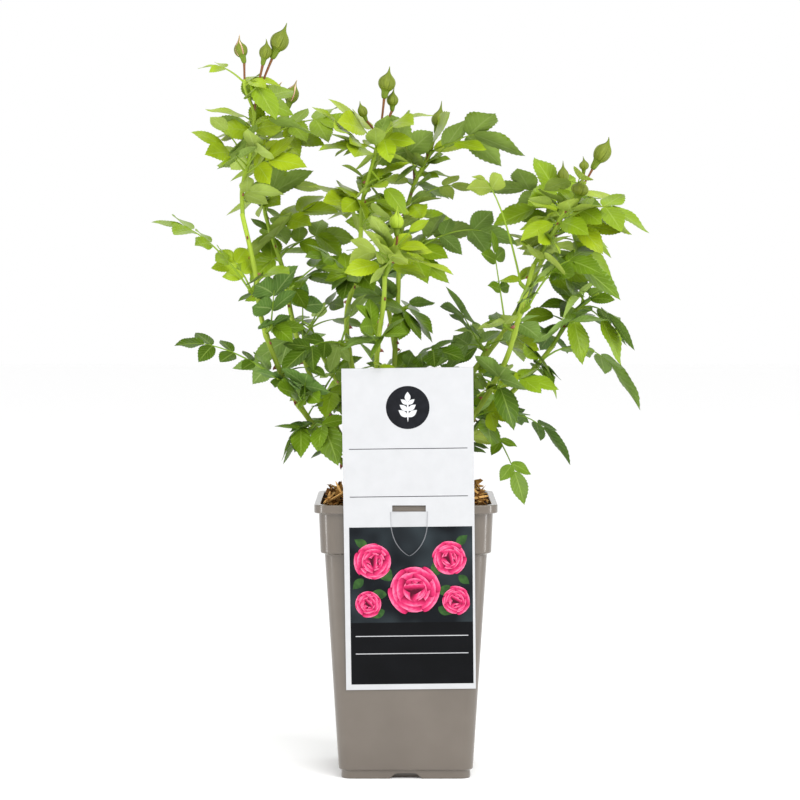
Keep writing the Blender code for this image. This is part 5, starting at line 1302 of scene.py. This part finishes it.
def touches(tree, others):
    return any(tree.overlap(other) for other in others)


def in_sky(leaflet):
    """Whether the leaflet's middle or tip would close one of the openings, seen from the front."""
    base, along, _, length = leaflet
    for share in (0.5, 1.0):
        place = base + along * length * share
        nearer = CAMERA_PLACE[1] / (CAMERA_PLACE[1] - place[1])
        across, height = place[0] * nearer, CAMERA_PLACE[2] + (place[2] - CAMERA_PLACE[2]) * nearer
        if any(math.hypot(across - x, height - z) < radius for x, z, radius in SKY):
            return True
    return False


def grow_leaf(shoot, leaf, root, turn, taken, near, open_sky=False, clear=0.0):
    """Swing the leaf until its stalk is free, then yaw each leaflet until it is free too."""
    for swing in SWINGS:
        spin = np.array(Matrix.Rotation(math.radians(swing), 3, "Z"))
        tried = leaf._replace(**dict(zip(("right", "back", "up"), spin @ (leaf.right, leaf.back, leaf.up))))
        stalk_end, leaflets = plan_leaf(root, tried, turn)
        span, _, middle = middle_line(root, tried)
        first = min(0.9, clear / (stalk_end * float(np.linalg.norm(span))))
        stalk = rod([middle((first + (1 - first) * t) * stalk_end) for t in (0.06, 0.35, 0.7, 1.0)], 1.0)
        if not touches(stalk, taken):
            break
    else:
        return None
    kept, made = [], []
    for leaflet in leaflets:
        if open_sky and in_sky(leaflet):
            if leaflet is leaflets[0]:
                return None
            continue
        for yaw in YAWS:
            turned = yawed(leaflet, math.radians(yaw))
            free = cell(turned, FREE_ROOT, TOUCH_MARGIN)
            if touches(cell(turned, -LEAFLET_ROOT, TOUCH_MARGIN), taken) or touches(free, near + made):
                continue
            kept.append(turned)
            made.append(cell(turned, FREE_ROOT))
            break
    near += made
    return Planned(shoot, tried, root, turn, stalk_end, kept)


def fine_leaves(shoot, route, dice):
    """Leaves that the solids leave out, on the golden angle down a stem from its tip to its foot."""
    leaves = []
    on_cane = route is ROUTES[shoot.cane]
    small = CANE_SMALL if on_cane else 1.0
    height = min(route[-1, 2] - 3, CANE_TOP if on_cane else math.inf)
    number = dice.randrange(8)
    while height > max(route[0, 2], FINE_LOWEST):
        reach = dice.uniform(*FINE_REACH) * math.sqrt(small)
        heading = number * GOLDEN_ANGLE
        leaves.append(Leaf(height, reach * math.cos(heading), reach * math.sin(heading),
                           reach * dice.uniform(*FINE_RISE), dice.choice(FINE_PAIRS), 0.12,
                           dice.uniform(*FINE_SIZE) * small))
        number += 1
        height -= FINE_STEP
    return leaves


def grow_all(shoot, route, leaves, dice, limbs, near, open_sky):
    """Grow a stem's leaves one after another, and keep those with any leaflet left."""
    clear = CANE_CLEAR if route is ROUTES[shoot.cane] else 0.0
    grown = []
    for leaf in leaves:
        root, _ = spot_at(route, leaf.at)
        turn = math.radians(dice.uniform(*LEAF_TURN)) * dice.choice((-1, 1))
        grown.append(grow_leaf(shoot, leaf, root, turn, limbs, near, open_sky, clear))
    return [leaf for leaf in grown if leaf and leaf.leaflets]


def plan_source():
    """Every leaf of the solids, in the source's order. What is already there is what a leaf may not touch."""
    taken = [tree_of(name) for name in NODES if not name.startswith("shoot_")]
    limbs, dice, planned, beds = list(taken), random.Random(7), [], []
    for shoot in SHOOTS:
        route, _ = shoot_route(shoot)
        near = [rod((bud.neck, bud.tip), bud.width * 0.4) for bud in shoot.buds]
        leaves = list(shoot.leaves) + (fill_leaves(shoot.fill, dice) if shoot.fill else [])
        for number, leaf in enumerate(leaves):
            root, along = spot_at(route, leaf.at)
            if leaf.at >= route[-1, 2]:
                root = root - along * ROOT_STEP * (number + 1)
            turn = math.radians(dice.uniform(*LEAF_TURN)) * (1 if dice.random() < LEAF_TURN_UP else -1)
            planned.append(grow_leaf(shoot, leaf, root, turn, taken, near))
        taken.append(tree_of("shoot_" + shoot.name))
        beds.append((shoot, route, near))
    return [leaf for leaf in planned if leaf and leaf.leaflets], limbs, beds


def plan_bush():
    """The source's leaves, then the fine ones on every shoot and cane."""
    planned, limbs, beds = plan_source()
    near = [tree for _, _, made in beds for tree in made]
    for (shoot, route), seed in zip(fine_hosts(beds), FINE_SEEDS):
        dice = random.Random(seed)
        planned += grow_all(shoot, route, fine_leaves(shoot, route, dice), dice, limbs, near, True)
    return planned


def fine_hosts(beds):
    """Stems that carry fine leaves: every shoot, then every cane with the first of its own shoots."""
    owners = {cane: next(shoot for shoot in SHOOTS if shoot.cane == cane) for cane in ROUTES}
    return [(shoot, route) for shoot, route, _ in beds] + [(owners[cane], ROUTES[cane]) for cane in ROUTES]


PLAN = plan_bush()
print("leaves:", len(PLAN), "leaflets:", sum(len(leaf.leaflets) for leaf in PLAN))

# %% [markdown]
# ## Shoot stems and leaf stalks
# Each shoot's stem starts inside its cane, so that the two look grown together, and it thins towards its tip.
# A leaf's stalk is a green thread that arches to its last leaflet, 1.9 mm thick at its foot and half of that
# at its end.

# %% Stems and stalks
SIDES = {"left": ("left", "left_back"), "centre": ("centre_left", "centre", "front"),
         "right": ("right_front", "right_back", "right_low"), "back": ("back", "back_right", "back_left")}
SHOOT_STATIONS = 40
SHOOT_SIDES = 10
STALK_STATIONS = 10
STALK_SIDES = 6
STALK_RADII = (0.95, 0.45)


def shoots_on(side):
    return [shoot for shoot in SHOOTS if shoot.cane in SIDES[side]]


def stands_for(piece, side):
    """The piece stands for every shoot on that side of the bush."""
    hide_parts(*["shoot_" + shoot.name for shoot in shoots_on(side)])


def make_shoot_stems(side, finish):
    """Tubes that thin towards their tips and swell by 0.25 mm at each leaf."""
    paths, radii = [], []
    for shoot in shoots_on(side):
        route, start = shoot_route(shoot)
        path = resampled(route, SHOOT_STATIONS)
        radius = np.linspace(start, SHOOT_TIP_RADIUS, SHOOT_STATIONS)
        for leaf in shoot.leaves:
            radius = radius + 0.25 * np.exp(-((path[:, 2] - leaf.at + 1) / 2.2) ** 2)
        paths.append(path)
        radii.append(radius)
    stands_for(tube_skin("shoot_stems_" + side, paths, radii, SHOOT_SIDES, finish, 6.0), side)


def make_stalks(side, finish):
    """The stalk follows the leaf's middle line, to just inside its last leaflet."""
    t = np.linspace(0, 1, STALK_STATIONS)[:, None]
    paths = []
    names = {shoot.name for shoot in shoots_on(side)}
    leaves = [leaf for leaf in PLAN if leaf.shoot.name in names]
    for leaf in leaves:
        _, _, middle = middle_line(leaf.root, leaf.leaf)
        paths.append(middle(t * (leaf.stalk_end + 0.02)))
    radii = np.broadcast_to(np.linspace(*STALK_RADII, STALK_STATIONS), (len(paths), STALK_STATIONS))
    stands_for(tube_skin("leaf_stalks_" + side, paths, radii, STALK_SIDES, finish, 4.0), side)


STEM_FINISH = green_bark("green_shoot_bark", "#708a1e", "#94ac30", 0.38, 0.58)
STALK_FINISH = green_bark("leaf_stalk_green", "#6a8a22", "#8ea62e", 0.3, 0.6, 0.45)
for side in SIDES:
    make_shoot_stems(side, STEM_FINISH)
    make_stalks(side, STALK_FINISH)

# %% [markdown]
# ## Leaves
# A rose leaf is waxy and smooth above and matt and paler below. Young leaves at the top are yellow-green, and
# each step down the bush is a deeper green. Five tones, each with an upper and an under side, are dealt out
# leaf by leaf, because a pattern laid over the whole bush would cut across leaves. Within a blade the colour
# only drifts, and the midrib and side veins come from the leaflet's own map.

# %% Leaves
TONES = {"lime": ("#95aa1a", "#9db04a"), "fresh": ("#8fa71a", "#9aae50"), "green": ("#7a951a", "#869e4a"),
         "deep": ("#5c7814", "#708c3e"), "shade": ("#445e10", "#597834")}
TONE_HEIGHTS = ((560, 1.0), (500, 1.3), (440, 2.0), (380, 2.85), (0, 3.3))
TONE_OF_SHOOT = {"front_top": 0.2, "right_front_top": 0.9, "centre_left_top": 1.0, "right_front_side": 1.2}
SIDE_VEINS = 7.0
# How far a leaflet is longer than its solid, and the ranges and spreads of its form, as shares of its length
# or half width. Twist is in radians, and a tone may be off by chance.
LEAF_LONGER = 1.07
LEAF_HALF = (0.28, 0.35)
LEAF_FOLD = (0.04, 0.32)
LEAF_BEND = (0.02, 0.18)
LEAF_TWIST = 0.18
LEAF_WAVE = 0.06
TONE_CHANCE = 0.75
VEIN_SHARE = 0.32


def leaf_blade(name, colour, vein, roughness, gloss, bulge):
    """A leaf surface: wax over green tissue. The blade drifts in tone over 20 mm. Veins are paler, and the
    tissue between them bulges by up to 0.15 mm."""
    material, tree = new_finish(name, Roughness=roughness, IOR=1.45, Specular_IOR_Level=gloss)
    coords = add(tree, "TexCoord")
    drift = add(tree, "TexNoise", {"Vector": coords.outputs["Object"], "Scale": 1 / 0.02,
                                             "Detail": 2.0})
    shade = add(tree, "MapRange", {"Value": drift, "From Min": 0.3, "From Max": 0.7,
                                             "To Min": 0.78, "To Max": 1.12})
    tissue = add(tree, "VectorMath", {0: colour[:3], "Scale": shade},
                 operation="SCALE")
    place = add(tree, "SeparateXYZ", {0: coords.outputs["UV"]})
    centred = add(tree, "Math", {0: place.outputs["Y"], 1: 0.5}, operation="SUBTRACT")
    out = add(tree, "Math", {0: centred}, operation="ABSOLUTE")
    midrib = add(tree, "MapRange", {"Value": out, "From Min": 0.012, "From Max": 0.045,
                                              "To Min": 1.0, "To Max": 0.0})
    slanted = add(tree, "Math", {0: out, 1: -0.62, 2: place.outputs["X"]},
                  operation="MULTIPLY_ADD")
    phase = add(tree, "Math", {0: slanted, 1: SIDE_VEINS}, operation="MULTIPLY")
    wave = add(tree, "Math", {0: phase, 1: 0.5}, operation="PINGPONG")
    side_vein = add(tree, "MapRange", {"Value": wave, "From Min": 0.01, "From Max": 0.09,
                                                 "To Min": 0.6, "To Max": 0.0})
    veins = add(tree, "Math", {0: midrib, 1: side_vein},
                operation="MAXIMUM")
    paler = add(tree, "Math", {0: veins, 1: VEIN_SHARE}, operation="MULTIPLY")
    blade = add(tree, "Mix", {0: paler, 6: tissue, 7: vein}, data_type="RGBA")
    relief = add(tree, "Math", {0: veins, 1: -0.7, 2: wave},
                 operation="MULTIPLY_ADD")
    bump = add(tree, "Bump", {"Height": relief, "Strength": bulge, "Distance": 0.0006})
    return dressed(material, blade.outputs[2], bump)


def leaf_finishes():
    """Upper and under side of each tone, in turn."""
    finishes = []
    for tone, (upper, under) in TONES.items():
        finishes.append(leaf_blade(f"leaf_upper_{tone}", linear(upper), linear("#a5bc5a"), 0.3, 0.22, 0.28))
        finishes.append(leaf_blade(f"leaf_under_{tone}", linear(under), linear("#b4c77c"), 0.6, 0.12, 0.32))
    return finishes


def tone_of(leaf, rng):
    """Young at the top, older below, and a little chance."""
    base = TONE_OF_SHOOT.get(leaf.shoot.name)
    if base is None:
        tip = leaf.root[2] + 0.5 * leaf.leaf.up
        base = next(tone for height, tone in TONE_HEIGHTS if tip >= height)
    return int(np.clip(round(base + rng.normal(0, TONE_CHANCE)), 0, len(TONES) - 1))


def make_leaves(side, finishes, rng):
    """All leaflets on one side of the bush as blades, with each leaf in one tone."""
    names = {shoot.name for shoot in shoots_on(side)}
    rows = [(*leaflet, tone) for leaf in PLAN if leaf.shoot.name in names
            for tone in [tone_of(leaf, rng)] for leaflet in leaf.leaflets]
    base, along, across, length, tone = (np.array(column) for column in zip(*rows))
    count = len(rows)
    half = length * rng.uniform(*LEAF_HALF, count)
    rings, poles = blades(base, along, across, length * LEAF_LONGER, half=half,
                          fold=rng.uniform(*LEAF_FOLD, count), bend=rng.uniform(*LEAF_BEND, count),
                          twist=rng.normal(0, LEAF_TWIST, count), wave=rng.normal(0, LEAF_WAVE, count))
    slots = tone[:, None] * 2 + np.where(UPPER_SIDES, 0, 1)
    stands_for(skin("leaves_" + side, rings, poles, finishes, slots, blade_places(count), smooth=70), side)


LEAF_FINISHES = leaf_finishes()
LEAF_DICE = np.random.default_rng(21)
for side in SIDES:
    make_leaves(side, LEAF_FINISHES, LEAF_DICE)

# %% [markdown]
# ## Buds
# A rosebud is a green cup, the later hip, with a bulb of five sepals above it whose tips meet in a long beak.
# The bulb is one profile turned round a slightly bent middle line. The sepals are plates laid over it, narrow
# enough that pink petals show between them on the buds that are about to open.

# %% Buds
BUD_PROFILE = ((0.0, 0.26), (0.06, 0.36), (0.12, 0.41), (0.18, 0.44), (0.23, 0.50), (0.29, 0.72), (0.37, 0.92),
               (0.45, 1.0), (0.53, 0.98), (0.61, 0.84), (0.68, 0.58), (0.74, 0.34), (0.80, 0.19), (0.88, 0.10),
               (1.0, 0.03))
BUD_STATIONS = 30
BUD_SIDES = 20
SEPALS = 5
SEPAL_FROM = 0.24
SEPAL_LIFT = 0.45
PEDICEL_STATIONS = 12
PEDICEL_SIDES = 8
PEDICEL_RADIUS = 0.95
BUD_SWAY = 0.05
# How much of its fifth of the bud a sepal covers: on a closed bud, and on those that are about to open.
CLOSED = 0.97
OPENING = {("left_top", 0): 0.86, ("left_back_top", 0): 0.88, ("left_back_top", 1): 0.88}


def fleshy_green(name, low, high, roughness=0.5):
    """Bud skin: soft waxy green with a darker flush in streaks from its foot to its tip."""
    return streaked(name, low, high, (0.3, 0.7), (2.0, 9.0, 1.0), 3.0, 0.2, 0.00015, Roughness=roughness,
                    IOR=1.45, Specular_IOR_Level=0.25)


def bud_radius(t):
    """Share of the bud's half width at a share t of its length."""
    smooth = smooth_route([(at, share, 0) for at, share in BUD_PROFILE], 0.02)
    return np.interp(t, smooth[:, 0], smooth[:, 1])


BUDS = [(shoot, bud) for shoot in SHOOTS for bud in shoot.buds]
BUD_PLACES = [(shoot.name, number) for shoot in SHOOTS for number in range(len(shoot.buds))]
NECKS = np.array([bud.neck for _, bud in BUDS], float)
REACHES = np.array([bud.tip for _, bud in BUDS], float) - NECKS
BUD_HALVES = np.array([bud.width / 2 for _, bud in BUDS])[:, None]
BUD_DICE = np.random.default_rng(3)
SWAYS = BUD_DICE.normal(0, BUD_SWAY, (len(BUDS), 1, 3)) * np.linalg.norm(REACHES, axis=1)[:, None, None]


def bud_line(t):
    """Each bud's middle line: neck + reach t + 4 sway (t^3 - t^2)."""
    t = np.reshape(t, (1, -1, 1))
    return NECKS[:, None] + REACHES[:, None] * t + SWAYS * (t ** 3 - t ** 2) * 4


def make_bud_cups():
    """The profile turned round the middle line, five hundredths thinner where sepals lie over it, with five
    faint ribs: times 1 + 0.02 cos 5a. A bud that opens has the petals' finish above its cup."""
    t = np.linspace(0.01, 0.99, BUD_STATIONS)
    angle = np.arange(BUD_SIDES) * 2 * np.pi / BUD_SIDES
    inner = np.where(t > SEPAL_FROM, 0.95, 1.0)[:, None] * (1 + 0.02 * np.cos(SEPALS * angle))
    rings, poles = tube(bud_line(t), BUD_HALVES[:, :, None] * (bud_radius(t)[:, None] * inner), BUD_SIDES)
    finishes = [fleshy_green("bud_cup_green", "#536812", "#728624"),
                fleshy_green("bud_petal_blush", "#d9868c", "#efd9b4", 0.55)]
    cups = skin("bud_cups", rings, poles, finishes, uv=along_and_round(*rings.shape[:3]))
    opens = np.array([place in OPENING for place in BUD_PLACES]).astype(int)
    above = opens[:, None] * (t[:-1] > SEPAL_FROM + 0.02)
    above = np.repeat(above[..., None], BUD_SIDES, axis=2).ravel()
    fans = np.zeros(len(BUDS) * 2 * BUD_SIDES)
    cups.data.polygons.foreach_set("material_index", np.concatenate([above, fans]).astype(np.int32))
    return cups


def make_sepals():
    """A sepal is a plate at the angle middle + s spread(u) round the bud, for s across the sepal and u along
    it. It lies at the bud's own radius plus a lift of SEPAL_LIFT (1 - 0.55 s^2) sin(pi u^0.5), and its five
    tips meet at the bud's tip."""
    u = np.linspace(0.0, 1.0, BLADE_ROWS + 2)[1:-1]
    along = SEPAL_FROM + (1.0 - SEPAL_FROM) * u
    first, second = path_frames(bud_line(along))
    cover = np.array([OPENING.get(place, CLOSED) for place in BUD_PLACES])
    spread = np.pi / SEPALS * cover[:, None] * (1 - 0.35 * np.clip((along - 0.62) / 0.12, 0, 1))
    middle = np.arange(SEPALS) * 2 * np.pi / SEPALS
    theta = middle[None, :, None, None] + BLADE_EDGE * spread[:, None, :, None]
    lift = SEPAL_LIFT * (1 - 0.55 * BLADE_EDGE ** 2) * (BLADE_LAYER >= 0) * np.sin(np.pi * u ** 0.5)[:, None]
    radius = BUD_HALVES[:, None, :, None] * (bud_radius(along) * 0.97)[:, None] + lift
    rings = (bud_line(along)[:, None, :, None] + (radius * np.cos(theta))[..., None] * first[:, None, :, None]
             + (radius * np.sin(theta))[..., None] * second[:, None, :, None])
    rings = rings.reshape(len(BUDS) * SEPALS, *rings.shape[2:])
    poles = rings[:, (0, -1)].mean(axis=2)
    poles[:, 1] = np.repeat(bud_line([1.0])[:, 0], SEPALS, axis=0)
    finishes = [fleshy_green("sepal_green", "#566414", "#7c882e"),
                fleshy_green("sepal_young_lime", "#8ca722", "#a8bd40")]
    young = np.array([shoot.name == "front_top" for shoot, _ in BUDS]).astype(int)
    return skin("sepals", rings[:, :, ::-1], poles, finishes, np.repeat(young, SEPALS)[:, None],
                blade_places(len(rings))[:, :, ::-1])


def make_pedicels():
    """Thin stalks from the shoot to the cup, that swell by 0.35 u^6 towards the cup."""
    paths = []
    for (shoot, bud), neck, reach in zip(BUDS, NECKS, REACHES):
        root, ahead = spot_at(shoot_route(shoot)[0], bud.at)
        inside = neck + reach * 0.04
        knots = [root - ahead, (root + inside) / 2 + ahead * 1.2, inside]
        paths.append(resampled(smooth_route(knots), PEDICEL_STATIONS))
    swell = PEDICEL_RADIUS + 0.35 * np.linspace(0, 1, PEDICEL_STATIONS) ** 6
    swell = np.broadcast_to(swell, (len(BUDS), PEDICEL_STATIONS))
    red = fleshy_green("pedicel_red_green", "#6a3626", "#7f5a30")
    return tube_skin("pedicels", paths, swell, PEDICEL_SIDES, red, 2.0)


for piece in (make_bud_cups(), make_sepals(), make_pedicels()):
    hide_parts(*sorted({"shoot_" + shoot.name for shoot, _ in BUDS}))
